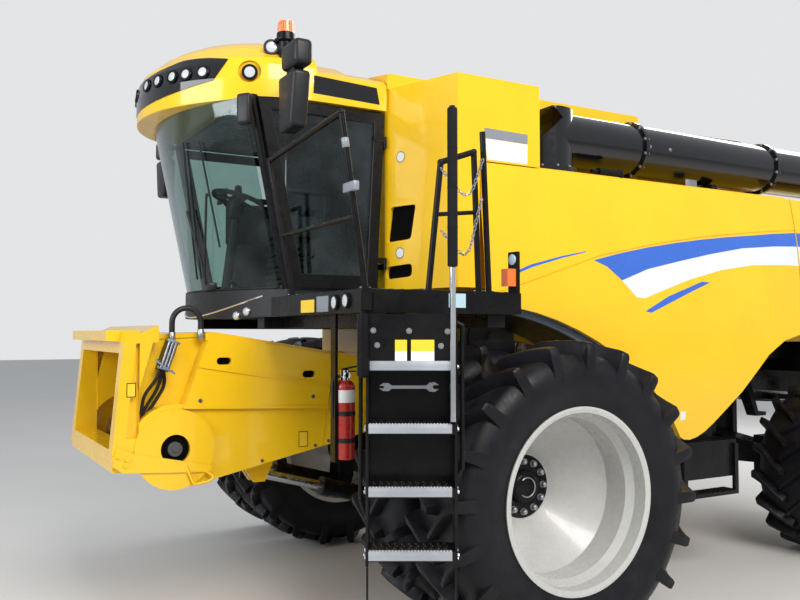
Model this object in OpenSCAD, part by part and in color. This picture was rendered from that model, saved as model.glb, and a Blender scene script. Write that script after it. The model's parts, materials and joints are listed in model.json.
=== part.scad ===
// Self-propelled combine harvester, parked without its header.
// X points forward, Y to the machine's left and Z up. The front axle's centre line is at X = axle_x.
// All pieces are drawn about a point on the ground under the front axle and then moved by place().

/* [Overall] */
// Forward distance from the frame's origin to the front axle
axle_x = 2250; // [2000:10:2500]
// Sideways distance from the frame's origin to the machine's centre line
line_y = -105; // [-200:5:0]
// Distance between the front and the rear axle
wheelbase = 3750; // [3700:10:3850]
// Half of the body's width at its upper edge
body_half = 1500; // [1480:5:1520]

/* [Front wheels] */
// Radius over the lugs, which is also the axle's height
front_r = 950; // [920:5:960]
// Width of each front tyre
front_w = 520; // [480:5:540]
// Distance from the centre line to the outer tyre's middle plane
front_outer_y = 1970; // [1960:5:2000]
// Distance between the two tyres of a pair
dual_pitch = 700; // [690:5:715]
// Radius of the front rim's flange
front_rim_r = 558; // [520:2:570]
// Lugs in each of a front tyre's two rows
front_lugs = 20; // [16:1:22]
// Height of the front lugs
front_lug_h = 72; // [50:2:80]

/* [Rear wheels] */
// Radius over the lugs, which is also the axle's height
rear_r = 745; // [700:5:760]
// Width of each rear tyre
rear_w = 600; // [520:5:610]
// Distance from the centre line to the tyre's middle plane
rear_y = 1310; // [1300:5:1330]
// Radius of the rear rim's flange
rear_rim_r = 368; // [340:2:390]
// Lugs in each of a rear tyre's two rows
rear_lugs = 18; // [14:1:20]
// Height of the rear lugs
rear_lug_h = 58; // [40:2:65]

/* [Feeder] */
// Half of the feeder's width
feeder_half = 750; // [720:5:770]
// Thickness of the feeder's plates
feeder_wall = 30; // [15:1:40]
// Distance from the front axle to the feeder's front face
feeder_front = 2330; // [2280:5:2360]
// Diameter of the feeder's front drum
drum_d = 330; // [280:5:360]
// Diameter of the lift cylinders' barrels
barrel_d = 120; // [90:2:130]
// Diameter of the lift cylinders' rods
rod_d = 64; // [50:2:76]

/* [Cab] */
// Half of the cab's width
cab_half = 900; // [880:5:910]
// Height of the cab's floor above the ground
cab_floor = 2230; // [2215:5:2240]
// Height of the roof's lower edge above the ground
roof_base = 3480; // [3470:5:3490]
// Rise of the roof's crown above its lower edge
roof_rise = 470; // [455:5:480]
// Overhang of the roof past the cab's sides
roof_over = 40; // [30:2:45]
// Thickness of the window glass
glass = 10; // [6:1:14]
// Width of the cab's pillars
pillar_w = 70; // [50:2:84]

/* [Tank] */
// Height of the grain tank's rim above the ground
tank_top = 3640; // [3600:5:3660]
// Length of the tank behind its front corner
tank_len = 2190; // [2100:10:2250]
// Thickness of the tank's walls
tank_wall = 40; // [20:2:50]
// Rise of the closed covers from the rim to the ridge
cover_rise = 260; // [240:5:270]
// Height of the covers' upright outer edge
cover_skirt = 110; // [90:5:115]

/* [Unloading auger] */
// Outer diameter of the unloading tube
auger_d = 400; // [360:5:420]
// Distance from the front axle back to the tube's end
auger_end = 6950; // [6500:10:7000]
// Height of the tube's centre line above the ground
auger_z = 3370; // [3360:5:3385]
// Distance from the body's upper edge in to the tube's centre line
auger_inset = 300; // [285:5:305]

/* [Body] */
// Height of the side panels' upper edge above the ground
panel_top = 3070; // [3050:5:3080]
// Outward bulge of the side panels below their upper edge
panel_bulge = 100; // [60:5:110]
// Thickness of the side panels
panel_t = 45; // [30:1:50]
// Half of the threshing housing's width
hull_half = 760; // [740:5:780]

/* [Platform and ladder] */
// Distance from the centre line to the platform's outer edge
platform_y = 2200; // [2180:5:2210]
// Height of the platform's top above the ground
platform_z = 2170; // [2165:5:2180]
// Thickness of the platform
platform_t = 110; // [80:5:120]
// Width of the ladder over its side plates
ladder_w = 475; // [440:5:480]
// Angle that the parked ladder stands out from the machine's side
ladder_angle = 30; // [28:1:31]
// Steps of the ladder
step_count = 4; // [3:1:4]
// Height of one step above the next
step_pitch = 317; // [300:1:325]
// Depth of a step from front to back
step_depth = 200; // [190:5:210]
// Diameter of the handrails' tube
rail_d = 34; // [26:1:38]

/* [Hidden] */
$fn = 72;

yellow = [0.98, 0.76, 0.05];
black = [0.06, 0.06, 0.07];
rubber = [0.09, 0.09, 0.10];
rim_white = [0.88, 0.87, 0.82];
steel = [0.55, 0.56, 0.58];
grey = [0.30, 0.31, 0.33];
red = [0.75, 0.07, 0.06];
glass_tint = [0.35, 0.48, 0.50, 0.45];

// Clearance between pieces that are seated on each other
seat_gap = 0.3;
// Clearance between pieces that swing past each other
swing_gap = 8;

rear_x = -wheelbase;
front_inner_y = front_outer_y - dual_pitch;
tank_front = 410;
tank_neck = 620;
tank_rear = tank_front - tank_len;
tank_floor = 2240;
recess_front = -265;
auger_y = body_half - auger_inset;
recess_y = auger_y - auger_d / 2 - 60;
hatch_half = recess_y - 6;
deck_z = auger_z - auger_d / 2 - 60;
elbow_x = -560;
deck_low = 2900;
deck_t = 50;
panel_front = 234;
panel_rear = -2950;
// Rear end of the frame rails and the housing
tail_x = -wheelbase - 500;
hood_rear = tail_x - 700;
spreader_x = tail_x - 830;
spreader_y = 360;
bulge_z = 2020;
feeder_pivot = [350, 1570];
cab_rear = 640;
cab_bottom = 2050;
// Underside of the arms that carry the cab and the platform
arm_low = cab_bottom - 75;
roof_top = roof_base + roof_rise;
roof_r = cab_half + roof_over;
arch_low = [-1530, 1140];
screen_x = -2700;
screen_z = 3240;
screen_r = 280;
engine_rear = -3380;
engine_top = 3560;
hood_right = 250 - body_half;
hinge_x = 1478;
ladder_pin_d = 30;
// Reach of the blocks that cut away all that lies past a plane
far = 5000;
hinge_y = platform_y + 32;

// Moves a piece from the front axle to its place in the frame
module place() { translate([axle_x, line_y, 0]) children(); }
module both_sides() {
    children();
    mirror([0, 1, 0]) children();
}
module right_side() { mirror([0, 1, 0]) children(); }
// Extrudes a side outline, drawn in X and Z, between two values of Y
module along_y(y0, y1) { translate([0, y1, 0]) rotate([90, 0, 0]) linear_extrude(y1 - y0) children(); }
// Extrudes a cross section, drawn in Y and Z, between two values of X
module along_x(x0, x1) { translate([x0, 0, 0]) rotate([90, 0, 90]) linear_extrude(x1 - x0) children(); }
// Extrudes a plan outline, drawn in X and Y, between two heights
module along_z(z0, z1) { translate([0, 0, z0]) linear_extrude(z1 - z0) children(); }
module block(x0, x1, y0, y1, z0, z1) { translate([x0, y0, z0]) cube([x1 - x0, y1 - y0, z1 - z0]); }
// A round bar from point a to point b
module bar(a, b, d) {
    v = b - a;
    translate(a) rotate([0, acos(v.z / norm(v)), atan2(v.y, v.x)]) cylinder(d = d, h = norm(v), $fn = 24);
}
// A bent tube through a list of points
module tube(points, d) {
    for (i = [0 : len(points) - 2]) bar(points[i], points[i + 1], d);
    for (i = [1 : len(points) - 2]) translate(points[i]) sphere(d = d + 3, $fn = 24);
}
// A disc or ring that turns about a line along Y, with z pointing outward
module about_y(x, y, z) { translate([x, y, z]) rotate([-90, 0, 0]) children(); }
module about_x(x, y, z) { translate([x, y, z]) rotate([0, 90, 0]) children(); }
function arc(c, r, a0, a1, n) = [for (i = [0 : n]) let (a = a0 + (a1 - a0) * i / n) c + r * [cos(a), sin(a)]];
// Points of a cubic curve
function bend(a, b, c, d, n) = [for (i = [0 : n]) let (t = i / n, s = 1 - t)
    s * s * s * a + 3 * s * s * t * b + 3 * s * t * t * c + t * t * t * d];

// Tyres

// Section of a tyre: radius and distance from its middle plane
function tyre_section(r, w, rim, h) = let (crown = r - h, belly = (rim + crown) / 2,
    flange = rim_half(w) - 16 - 2 * seat_gap)
    [[rim - bead_r + seat_gap, 6 - flange], [rim + 1, -flange],
    [rim + 22, -w * 0.43], [belly - 45, -w * 0.49], [belly + 10, -w * 0.5], [belly + 60, -w * 0.492],
    [crown - 45, -w * 0.45], [crown - 8, -w * 0.36], [crown, -w * 0.15], [crown, w * 0.15],
    [crown - 8, w * 0.36], [crown - 45, w * 0.45], [belly + 60, w * 0.492], [belly + 10, w * 0.5],
    [belly - 45, w * 0.49], [rim + 22, w * 0.43], [rim + 1, flange], [rim - bead_r + seat_gap, flange - 6]];

// One of the two rows of slanted lugs, which reach down over the shoulder
module lug_row(r, w, h, count, side) {
    depth = h + 95;
    thick = w * 0.088;
    lead = w * 0.36;
    start = side * 12;
    end = side * (w / 2 + 2);
    for (i = [0 : count - 1])
        rotate((i + (side > 0 ? 0.5 : 0)) * 360 / count) translate([r - depth, 0, 0]) rotate([90, 0, 90])
            linear_extrude(depth + 20)
                polygon([[lead / 2 - thick * 0.6, start], [lead / 2 + thick * 0.6, start],
                    [-lead / 2 + thick * 0.75, end], [-lead / 2 - thick * 0.75, end]]);
}

module tyre(x, y, r, w, rim, h, count) {
    color(rubber) about_y(x, y, r) {
        rotate_extrude() polygon(tyre_section(r, w, rim, h));
        intersection() {
            translate([0, 0, -w]) cylinder(r = r, h = 2 * w);
            union() for (side = [-1, 1]) lug_row(r, w, h, count, side);
        }
    }
}
module front_tyre(y) { tyre(0, y, front_r, front_w, front_rim_r, front_lug_h, front_lugs); }
module rear_tyre(y) { tyre(rear_x, y, rear_r, rear_w, rear_rim_r, rear_lug_h, rear_lugs); }

// Rims

rim_t = 14;
function rim_half(w) = w * 0.44;
front_rim_half = rim_half(front_w);
rear_rim_half = rim_half(rear_w);
bead_r = 23;
hub_r = 190;
axle_end_y = front_inner_y - front_w / 2 - 30;
stub_d = 180;

// Wall of a rim from its outer flange over the well to its inner flange
function rim_wall(r, half) = [[r, half], [r, half - 16], [r - bead_r, half - 22],
    [r - bead_r - 1, half * 0.55], [r - 60, half * 0.35], [r - 60, -half * 0.6],
    [r - bead_r - 1, -half * 0.75], [r - bead_r, 22 - half], [r, 16 - half], [r, -half],
    [r - bead_r - rim_t, -half], [r - bead_r - rim_t, -half * 0.78], [r - 60 - rim_t, -half * 0.63],
    [r - 60 - rim_t, half * 0.38], [r - bead_r - rim_t - 2, half * 0.58], [r - bead_r - rim_t, half - 8],
    [r - rim_t, half]];

// A dished disc from the rim's well at z0 to the hub at z1
module dish(r, z0, z1) {
    rotate_extrude() polygon([[r - 62, z0], [r - 62, z0 - rim_t * 1.6], [hub_r + 30, z1 - rim_t],
        [0, z1 - rim_t], [0, z1 + rim_t], [hub_r + 24, z1 + rim_t]]);
}
module studs(z, h, r, count) {
    for (i = [0 : count - 1]) rotate(i * 360 / count) translate([r, 0, z]) cylinder(d = 34, h = h, $fn = 6);
}
module front_rims() {
    outer_disc = -front_rim_half - 130;
    color(rim_white) about_y(0, front_outer_y, front_r) {
        rotate_extrude() polygon(rim_wall(front_rim_r, front_rim_half));
        dish(front_rim_r, -front_rim_half * 0.3, outer_disc);
        studs(outer_disc, 44, hub_r - 28, 12);
        translate([0, 0, outer_disc]) cylinder(d = 150, h = 60);
        translate([0, 0, -dual_pitch]) {
            rotate_extrude() polygon(rim_wall(front_rim_r, front_rim_half));
            // Disc of the inner wheel and the drum between the two wheels
            difference() {
                union() {
                    dish(front_rim_r, front_rim_half * 0.1, -60);
                    translate([0, 0, -60]) cylinder(r = hub_r, h = dual_pitch + outer_disc + 60);
                    translate([0, 0, -front_w / 2 - 20]) cylinder(d = stub_d + 90, h = front_w / 2);
                }
                translate([0, 0, -front_w]) cylinder(d = stub_d + 2 * seat_gap, h = front_w + 20);
            }
        }
    }
}
module rear_rim() {
    color(rim_white) about_y(rear_x, rear_y, rear_r) difference() {
        union() {
            rotate_extrude() polygon(rim_wall(rear_rim_r, rear_rim_half));
            rotate_extrude() polygon([[rear_rim_r - 62, -20], [rear_rim_r - 62, -44], [150, -108],
                [0, -108], [0, -78], [146, -78]]);
            studs(-82, 40, 118, 10);
            translate([0, 0, -200]) cylinder(d = 190, h = 190);
        }
        translate([0, 0, -260]) cylinder(d = rear_stub_d + 2 * seat_gap, h = 200);
    }
}

// Axles, knuckles and chassis

rail_y = 480;
rail_half_w = 70;
rail_z = [front_r + 150, front_r + 290];
tail_z = [1690, 1860];
kingpin_y = 800;
rear_stub_d = 110;
beam_z = rear_r + 60;
pivot_d = 110;
steer_x = rear_x - 270;
steer_z = rear_r + 10;
steer_rod_d = 50;

// Side outline of a frame rail, which rises over the rear axle
function rail_outline() = [[330, rail_z[0]], [330, rail_z[1]], [-2620, rail_z[1]], [-2960, tail_z[1]],
    [tail_x, tail_z[1]], [tail_x, tail_z[0]], [-3060, tail_z[0]], [-2720, rail_z[0]]];

module chassis() {
    color(grey) place() {
        both_sides() along_y(rail_y - rail_half_w, rail_y + rail_half_w) polygon(rail_outline());
        for (x = [60, -900, -1750, -2450])
            block(x - 60, x + 60, -rail_y, rail_y, rail_z[0] + 10, rail_z[1] - 10);
        // Cheeks and pin that carry the rear axle
        for (x = [rear_x + 130, rear_x - 190]) {
            block(x, x + 60, -150, 150, beam_z - 80, tail_z[0] + 80);
            block(x, x + 60, -rail_y, rail_y, tail_z[0] + 10, tail_z[1] - 10);
        }
        about_x(rear_x - 196, 0, beam_z) cylinder(d = pivot_d, h = 426);
        // Brackets of the lift cylinders under the front of the rails
        both_sides() for (y = [lift_y - lift_cheek - 30, lift_y + lift_cheek])
            along_y(y, y + 30) polygon([[225, rail_z[0] + 40], [330, rail_z[0] + 40], [360, 760],
                [345, 660], [300, 635], [255, 660], [225, 760]]);
        both_sides() about_y(lift_foot[0], lift_y - lift_cheek - 30, lift_foot[1])
            cylinder(d = lift_pin_d, h = 2 * lift_cheek + 60);
        // Arms that carry the cab and the platform
        both_sides() block(330, 1440, 620, 740, arm_low, cab_bottom);
        block(1180, 1300, 739, platform_y - 60, arm_low, cab_bottom);
        block(520, 640, 739, platform_y - 60, arm_low, cab_bottom);
        // Tow hitch under the tail
        difference() {
            along_y(-60, 60) polygon([[tail_x, tail_z[0]], [tail_x, 1500], [tail_x - 150, 1100], [tail_x - 270, 1100],
                [tail_x - 270, 1060], [tail_x - 110, 1060], [tail_x + 80, 1460], [tail_x + 80, tail_z[0]]]);
            translate([tail_x - 230, 0, 0]) cylinder(d = 40, h = 3000);
        }
        block(tail_x, tail_x + 100, -rail_y, rail_y, tail_z[0] + 10, tail_z[1] - 10);
    }
}
module front_axle() {
    color(grey) place() {
        about_y(0, -rail_y - 220, front_r) cylinder(d = 280, h = 2 * rail_y + 440);
        both_sides() {
            // Final drive case, flange and stub
            about_y(0, rail_y + 120, front_r) cylinder(d = 460, h = axle_end_y - rail_y - 240);
            about_y(0, axle_end_y - 130, front_r) cylinder(d = 330, h = 130);
            about_y(0, axle_end_y - 10, front_r) cylinder(d = stub_d, h = front_w / 2 + 50);
            // Saddle under the frame rail
            block(-150, 150, rail_y - rail_half_w, rail_y + rail_half_w, front_r, rail_z[0]);
        }
    }
}
module rear_axle() {
    color(grey) place() {
        difference() {
            union() {
                along_x(rear_x - 110, rear_x + 110)
                    polygon([[-620, beam_z - 110], [-200, beam_z - 130], [200, beam_z - 130],
                        [620, beam_z - 110], [620, beam_z + 70], [200, beam_z + 130],
                        [-200, beam_z + 130], [-620, beam_z + 70]]);
                // Forks that hold the kingpins
                both_sides() for (z = [beam_z - 190, beam_z + 100])
                    along_z(z, z + 50) polygon([[rear_x - 90, 560], [rear_x - 80, kingpin_y - 40],
                        [rear_x - 50, kingpin_y + 70], [rear_x + 50, kingpin_y + 70],
                        [rear_x + 80, kingpin_y - 40], [rear_x + 90, 560]]);
                both_sides() block(rear_x - 90, rear_x + 90, 560, 620, beam_z - 190, beam_z + 150);
            }
            about_x(rear_x - 300, 0, beam_z) cylinder(d = pivot_d + 2 * seat_gap, h = 600);
            both_sides() translate([rear_x, kingpin_y, 0]) cylinder(d = 70 + 2 * seat_gap, h = 2000);
        }
        // Steering cylinder behind the beam and the arms that hold it
        difference() {
            union() {
                about_y(steer_x, -230, steer_z) cylinder(d = 110, h = 460);
                both_sides() block(steer_x, rear_x - 100, 170, 220, steer_z - 30, steer_z + 30);
            }
            about_y(steer_x, -300, steer_z) cylinder(d = steer_rod_d + 2 * seat_gap, h = 600);
        }
    }
}
module knuckle() {
    arm = rear_x - steer_x;
    color(grey) {
        // Kingpin with its cap
        translate([rear_x, kingpin_y, beam_z - 220]) cylinder(d = 70, h = 400);
        translate([rear_x, kingpin_y, beam_z - 220]) cylinder(d = 120, h = 30 - seat_gap);
        translate([rear_x, kingpin_y, beam_z - 139]) cylinder(d = 130, h = 238);
        about_y(rear_x, kingpin_y + 20, rear_r) cylinder(d = 150, h = 90);
        about_y(rear_x, kingpin_y + 100, rear_r) cylinder(d = rear_stub_d, h = rear_y - 166 - kingpin_y);
        // Steering arm with the eye of the rod's end
        along_z(steer_z - 80, steer_z - 40) polygon(concat([[rear_x + 30, kingpin_y - 50],
            [rear_x + 30, kingpin_y + 50]], arc([steer_x, kingpin_y], 45, 90, 270, 10)));
    }
}
module steering_rod() {
    color(steel) place() {
        about_y(steer_x, -kingpin_y, steer_z) cylinder(d = steer_rod_d, h = 2 * kingpin_y);
        both_sides() translate([steer_x, kingpin_y, steer_z - 34]) cylinder(d = 84, h = 68);
    }
}
module tool_box() {
    color(black) place() {
        block(-2330, -1690, 620, 1420, 800, 1090);
        block(-2250, -1770, 640, 1250, 1090, 1190);
        block(-2100, -1900, rail_y + rail_half_w, 640, rail_z[0] + 20, rail_z[1] - 50);
        // Step under the box
        for (x = [-1740, -2320]) block(x, x + 40, 1420, 1450, 680, 1060);
        block(-2320, -1700, 1300, 1450, 660, 690);
    }
}

// Body

// Closed housing of the rotors and sieves
function hull_outline() = [[330, rail_z[1]], [330, tank_floor], [-1900, tank_floor], [-2100, deck_low],
    [tail_x + 350, deck_low], [tail_x, 2500], [tail_x, tail_z[1]], [-2960, tail_z[1]], [-2620, rail_z[1]]];

module threshing_hull() {
    color(yellow * 0.9) place() difference() {
        union() {
            along_y(-hull_half, hull_half) polygon(hull_outline());
            // Ribs on the side sheets
            both_sides() for (x = [-750, -1000, -1850, -2700])
                block(x - 25, x + 25, hull_half, hull_half + 30, 1900, 2180);
            // Cheeks and pins that carry the feeder
            both_sides() {
                along_y(hull_half - 1, hull_half + 30)
                    polygon([[200, 1420], [200, 1760], [400, 1700], [440, 1610], [400, 1480]]);
                about_y(feeder_pivot[0], feeder_half - 60, feeder_pivot[1])
                    cylinder(d = feeder_pin_d, h = hull_half + 50 - feeder_half);
            }
        }
        // Mouth that takes the feeder's rear end
        difference() {
            block(230, 500, -feeder_half + 12, feeder_half - 12, 1270, 1790);
            both_sides() about_y(feeder_pivot[0], feeder_half - 60, feeder_pivot[1])
                cylinder(d = feeder_pin_d, h = 200);
        }
    }
}
// Pulleys at the two sides of the housing: x, z, radius and side, where 1 is left and -1 is right
pulleys = [[-300, 1900, 210, 1], [-1250, 1500, 160, 1], [-1450, 2060, 120, 1], [-2250, 1720, 240, 1],
    [-2350, 2500, 170, 1], [-400, 1750, 180, -1], [-1350, 2000, 130, -1], [-2150, 1620, 220, -1],
    [-2450, 2450, 190, -1]];
module belt_drives() {
    color(grey) place() for (p = pulleys) mirror([0, p[3] > 0 ? 0 : 1, 0])
        about_y(p[0], hull_half + seat_gap, p[1]) {
            cylinder(r = 45, h = 150);
            rotate_extrude() polygon([[0, 60], [p[2], 60], [p[2] - 26, 82], [p[2] - 26, 100], [p[2], 122],
                [0, 122]]);
        }
}

// Plan outline of the tank above the side panels, whose left side steps in for the auger
function tank_plan(inset) = [[tank_neck - inset, -cab_half + inset * 0.4],
    [tank_neck - inset, cab_half - inset * 0.4], [tank_front - inset, body_half - inset],
    [recess_front + inset, body_half - inset], [recess_front + inset, recess_y - inset],
    [tank_rear + inset, recess_y - inset], [tank_rear + inset, -body_half + inset],
    [tank_front - inset, -body_half + inset]];

// Moves a piece drawn on the YZ plane onto the slanted left shoulder, with Y measured from the tank's neck
module shoulder_face() {
    run = [tank_front - tank_neck, body_half - cab_half];
    translate([tank_neck, cab_half, 0]) rotate(atan2(run[1], run[0]) - 90) children();
}
// A four-sided outline with its corners rounded by r
function rounded(p, r) = [for (i = [0 : 3])
    let (a = p[(i + 3) % 4], b = p[i], c = p[(i + 1) % 4], u = (a - b) / norm(a - b),
    v = (c - b) / norm(c - b)) for (t = [0 : 4]) let (w = t / 4, s = 1 - w) b + r * (s * s * u + w * w * v)];
cover_hinge = [hatch_half + 14, tank_top + 14];
cover_hinge_x = [-1500, -650, 250];
module grain_tank() {
    waist = panel_top + swing_gap;
    side_in = body_half - panel_t - 15;
    color(yellow) place() difference() {
        union() {
            along_z(tank_floor, tank_top) polygon(tank_plan(0));
            // Fixed knuckles of the covers' hinges
            both_sides() for (x = cover_hinge_x) for (dx = [-40, 60 + seat_gap]) {
                about_x(x + dx, cover_hinge[0], cover_hinge[1]) cylinder(d = knuckle_d, h = 40 - seat_gap);
                block(x + dx, x + dx + 40 - seat_gap, cover_hinge[0] - 9, cover_hinge[0] + 11,
                    tank_top - 1, cover_hinge[1]);
            }
            // Gables that close the ends of the covers
            for (x = [tank_rear, tank_neck - 20]) along_x(x, x + 20)
                polygon([[-hatch_half, tank_top - 1], [hatch_half, tank_top - 1],
                    [hatch_half, tank_top + cover_skirt - 6], [0, tank_top + cover_rise - 6],
                    [-hatch_half, tank_top + cover_skirt - 6]]);
        }
        // Room for the side panels, the auger's tower and the deck beside the lower part
        for (side = [-1, 1]) scale([1, side, 1])
            block(tank_rear - 1, panel_front + 6, side_in, body_half + 1, tank_floor - 1, waist);
        block(tank_rear - 1, recess_front, recess_y, body_half + 1, tank_floor - 1, waist + 1);
        // Inside with sloping floors under a hatch between the shoulders
        intersection() {
            along_z(tank_floor, tank_top - tank_wall) polygon(tank_plan(tank_wall));
            along_x(tank_rear - 10, tank_neck + 10)
                polygon([[-side_in + tank_wall, 2950], [-420, tank_floor + 100], [420, tank_floor + 100],
                [side_in - tank_wall, 2950], [side_in - tank_wall, tank_top],
                [-side_in + tank_wall, tank_top]]);
        }
        block(tank_rear + tank_wall, tank_neck - tank_wall, -hatch_half + tank_wall,
            hatch_half - tank_wall, tank_top - tank_wall - 1, tank_top + cover_rise);
        // Openings in the slanted front shoulders
        both_sides() shoulder_face() {
            along_x(-30, 5) polygon(rounded([[18, 2568], [236, 2580], [280, 2812], [56, 2812]], 26));
            along_x(-30, 5) polygon(rounded([[12, 2312], [246, 2326], [246, 2414], [20, 2400]], 34));
        }
    }
}
module fountain_auger() {
    color(steel) place() intersection() {
        union() {
            bar([-920, 0, 2300], [-500, 0, 3380], 300);
            bar([-480, 0, 3350], [-440, 0, 3460], 420);
        }
        block(-1500, 0, -500, 500, tank_floor + 100 + seat_gap, tank_top);
    }
}
// One half of the ridged roof over the tank
module tank_cover() {
    low = tank_top + seat_gap;
    color(yellow) for (x = cover_hinge_x) {
        about_x(x, cover_hinge[0], cover_hinge[1]) cylinder(d = knuckle_d, h = 60);
        block(x, x + 60, hatch_half - 2, cover_hinge[0], cover_hinge[1] - 3, cover_hinge[1] + 8);
    }
    color(yellow) along_x(tank_rear + 20 + seat_gap, tank_neck - 20 - seat_gap)
        polygon([[4, tank_top + cover_rise], [hatch_half, low + cover_skirt], [hatch_half, low],
            [hatch_half - 30, low], [hatch_half - 30, low + cover_skirt - 34],
            [4, tank_top + cover_rise - 40]]);
}
module tank_cover_left() { place() tank_cover(); }
module tank_cover_right() { place() right_side() tank_cover(); }

module auger_tower() {
    color(black) place() {
        translate([elbow_x, auger_y, 2780]) cylinder(d = auger_d - 60, h = deck_z - 2780);
        translate([elbow_x, auger_y, deck_z - 20 + seat_gap]) cylinder(d = auger_d + 60, h = 20 - seat_gap);
    }
}
module unloading_auger() {
    bore_d = auger_d - 20;
    color(black) place() {
        // Turntable and mitred elbow
        translate([elbow_x, auger_y, deck_z + seat_gap]) cylinder(d = auger_d + 50, h = 24);
        difference() {
            union() {
                about_x(-auger_end, auger_y, auger_z) cylinder(d = auger_d, h = auger_end + elbow_x);
                translate([elbow_x, auger_y, deck_z + 10])
                    cylinder(d = auger_d, h = auger_z + auger_d / 2 - deck_z - 10);
            }
            about_x(-auger_end - 10, auger_y, auger_z) cylinder(d = bore_d, h = 1600);
            translate([elbow_x, auger_y - 300, auger_z + auger_d * 0.3]) rotate([0, 45, 0])
                cube([500, 600, 500]);
        }
        for (x = [-1400, -2950, -5600]) about_x(x, auger_y, auger_z) cylinder(d = auger_d + 44, h = 30);
        // Spout at the end
        difference() {
            along_x(-auger_end, -auger_end + 420) translate([auger_y - auger_d / 2 + 10, auger_z - 330])
                square([auger_d - 20, 330]);
            along_x(-auger_end - 10, -auger_end + 400)
                translate([auger_y - auger_d / 2 + 30, auger_z - 350]) square([auger_d - 60, 400]);
            about_x(-auger_end - 10, auger_y, auger_z) cylinder(d = bore_d, h = 1600);
        }
    }
}
module auger_saddle() {
    top = auger_z - auger_d / 2 - 5;
    color(black) place() along_x(-2280, -2220) polygon([[auger_y - 130, deck_z - 20],
        [auger_y - 100, top], [auger_y + 100, top], [auger_y + 130, deck_z - 20]]);
}

// Cross section of a side panel: a shallow arc that bulges outward, with its thickness inward
bulge_r = pow(panel_top - bulge_z, 2) / (2 * panel_bulge);
module bulge_band(inner, outer, x0, x1) {
    along_x(x0, x1) difference() {
        translate([body_half + panel_bulge - bulge_r, bulge_z]) circle(r = bulge_r + outer, $fn = 360);
        translate([body_half + panel_bulge - bulge_r, bulge_z]) circle(r = bulge_r + inner, $fn = 360);
        translate([-2 * bulge_r, -2 * bulge_r]) square([2 * bulge_r + body_half - 400, 4 * bulge_r]);
    }
}
// Side outline of the large panel, whose lower edge sweeps round the front wheel
function panel_outline() = concat([[panel_front, panel_top], [panel_front, 2210],
    [20, 2110]], bend([20, 2110], [-560, 2030], [-1260, 1640], arch_low + [-10, 60], 10),
    bend(arch_low + [-10, 60], arch_low + [-50, -30], arch_low + [-200, -40], arch_low + [-390, 110], 6),
    [[-2220, 1480], [-2530, 1770], [-2720, 1880], [panel_rear + 5, 1935], [panel_rear + 5, panel_top]]);

// Crease along the large panel, which rises towards the rear
crease = [[panel_front + 1, 2190], [-70, 2280], [-730, 2490], [-1300, 2605], [-1850, 2690], [-2400, 2755],
    [panel_rear - 1, 2805]];
module side_panel() {
    color(yellow) difference() {
        intersection() {
            bulge_band(-panel_t, 0, panel_rear, panel_front);
            along_y(body_half - 300, body_half + 300) polygon(panel_outline());
        }
        intersection() {
            bulge_band(-7, 20, panel_rear - 10, panel_front + 10);
            along_y(body_half - 300, body_half + 300)
                polygon(concat(crease, [for (i = [len(crease) - 1 : -1 : 0]) crease[i] + [0, -13]]));
        }
    }
}
arch_top = 2 * front_r + 185;
// Curved plates that close the front wheel arches from inside
module arch_liners() {
    color(black) place() both_sides() {
        along_y(1000, body_half + 30) polygon(concat(bend([60, arch_top], [-520, arch_top - 80], [-1200, arch_top - 470],
            [-1330, 1250], 12), bend([-1316, 1250], [-1184, arch_top - 479], [-512, arch_top - 94], [60, arch_top - 14], 12)));
        block(-60, 20, hull_half, 1001, arch_top - 33, arch_top - 10);
        along_y(hull_half, 1001) polygon([[-1040, 1560], [-1040, 1625], [-990, 1655], [-990, 1560]]);
    }
}
module side_panel_left() { place() side_panel(); }
module side_panel_right() { place() right_side() side_panel(); }

// Inner face of a side panel at a height
function panel_inner(z) = body_half + panel_bulge - bulge_r
    + sqrt(pow(bulge_r - panel_t, 2) - pow(z - bulge_z, 2));
module deck() {
    high_edge = panel_inner(panel_top) - seat_gap;
    low_edge = panel_inner(deck_low + deck_t) - seat_gap;
    step_y = recess_y - deck_t;
    high = deck_z - 20;
    low = deck_low + deck_t;
    color(yellow) place() difference() {
        union() {
            // Shoulder beside the tank, then the step down to the engine's deck
            block(tank_rear, recess_front, recess_y, high_edge, high - deck_t, high);
            along_x(panel_rear, tank_rear) polygon([[-low_edge, deck_low], [-low_edge, low],
                [step_y, low], [step_y, high], [high_edge, high], [high_edge, high - deck_t],
                [recess_y, high - deck_t], [recess_y, deck_low]]);
            block(tail_x - 10, panel_rear, -low_edge, low_edge, deck_low, low);
        }
        translate([elbow_x, auger_y, 2000]) cylinder(d = auger_d - 60 + 2 * seat_gap, h = 2000);
    }
}
module engine_block() {
    color(grey) place() block(-3060, -2000, -430, 430, deck_low + deck_t, 3420);
}
module engine_hood() {
    floor_z = deck_low + deck_t;
    right = hood_right;
    left = recess_y - deck_t - 20;
    wall = 40;
    color(yellow) place() difference() {
        along_y(right, left) polygon([[tank_rear - 8, floor_z], [tank_rear - 8, engine_top + 40],
            [-2900, engine_top], [engine_rear, 3300], [engine_rear, floor_z]]);
        along_y(right + wall, left - wall) polygon([[tank_rear - 8 - wall, floor_z - 1],
            [tank_rear - 8 - wall, engine_top], [-2900, engine_top - wall], [engine_rear + wall, 3270],
            [engine_rear + wall, floor_z - 1]]);
        // Louvre slots in the rear and the left side
        for (i = [0 : 4]) {
            block(engine_rear - 5, engine_rear + wall + 5, -1100, -650, 3000 + i * 55, 3025 + i * 55);
            block(engine_rear - 5, engine_rear + wall + 5, -100, 700, 3000 + i * 55, 3025 + i * 55);
            block(-3000, -2200, left - wall - 5, left + 5, 3140 + i * 55, 3165 + i * 55);
        }
    }
}
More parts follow.
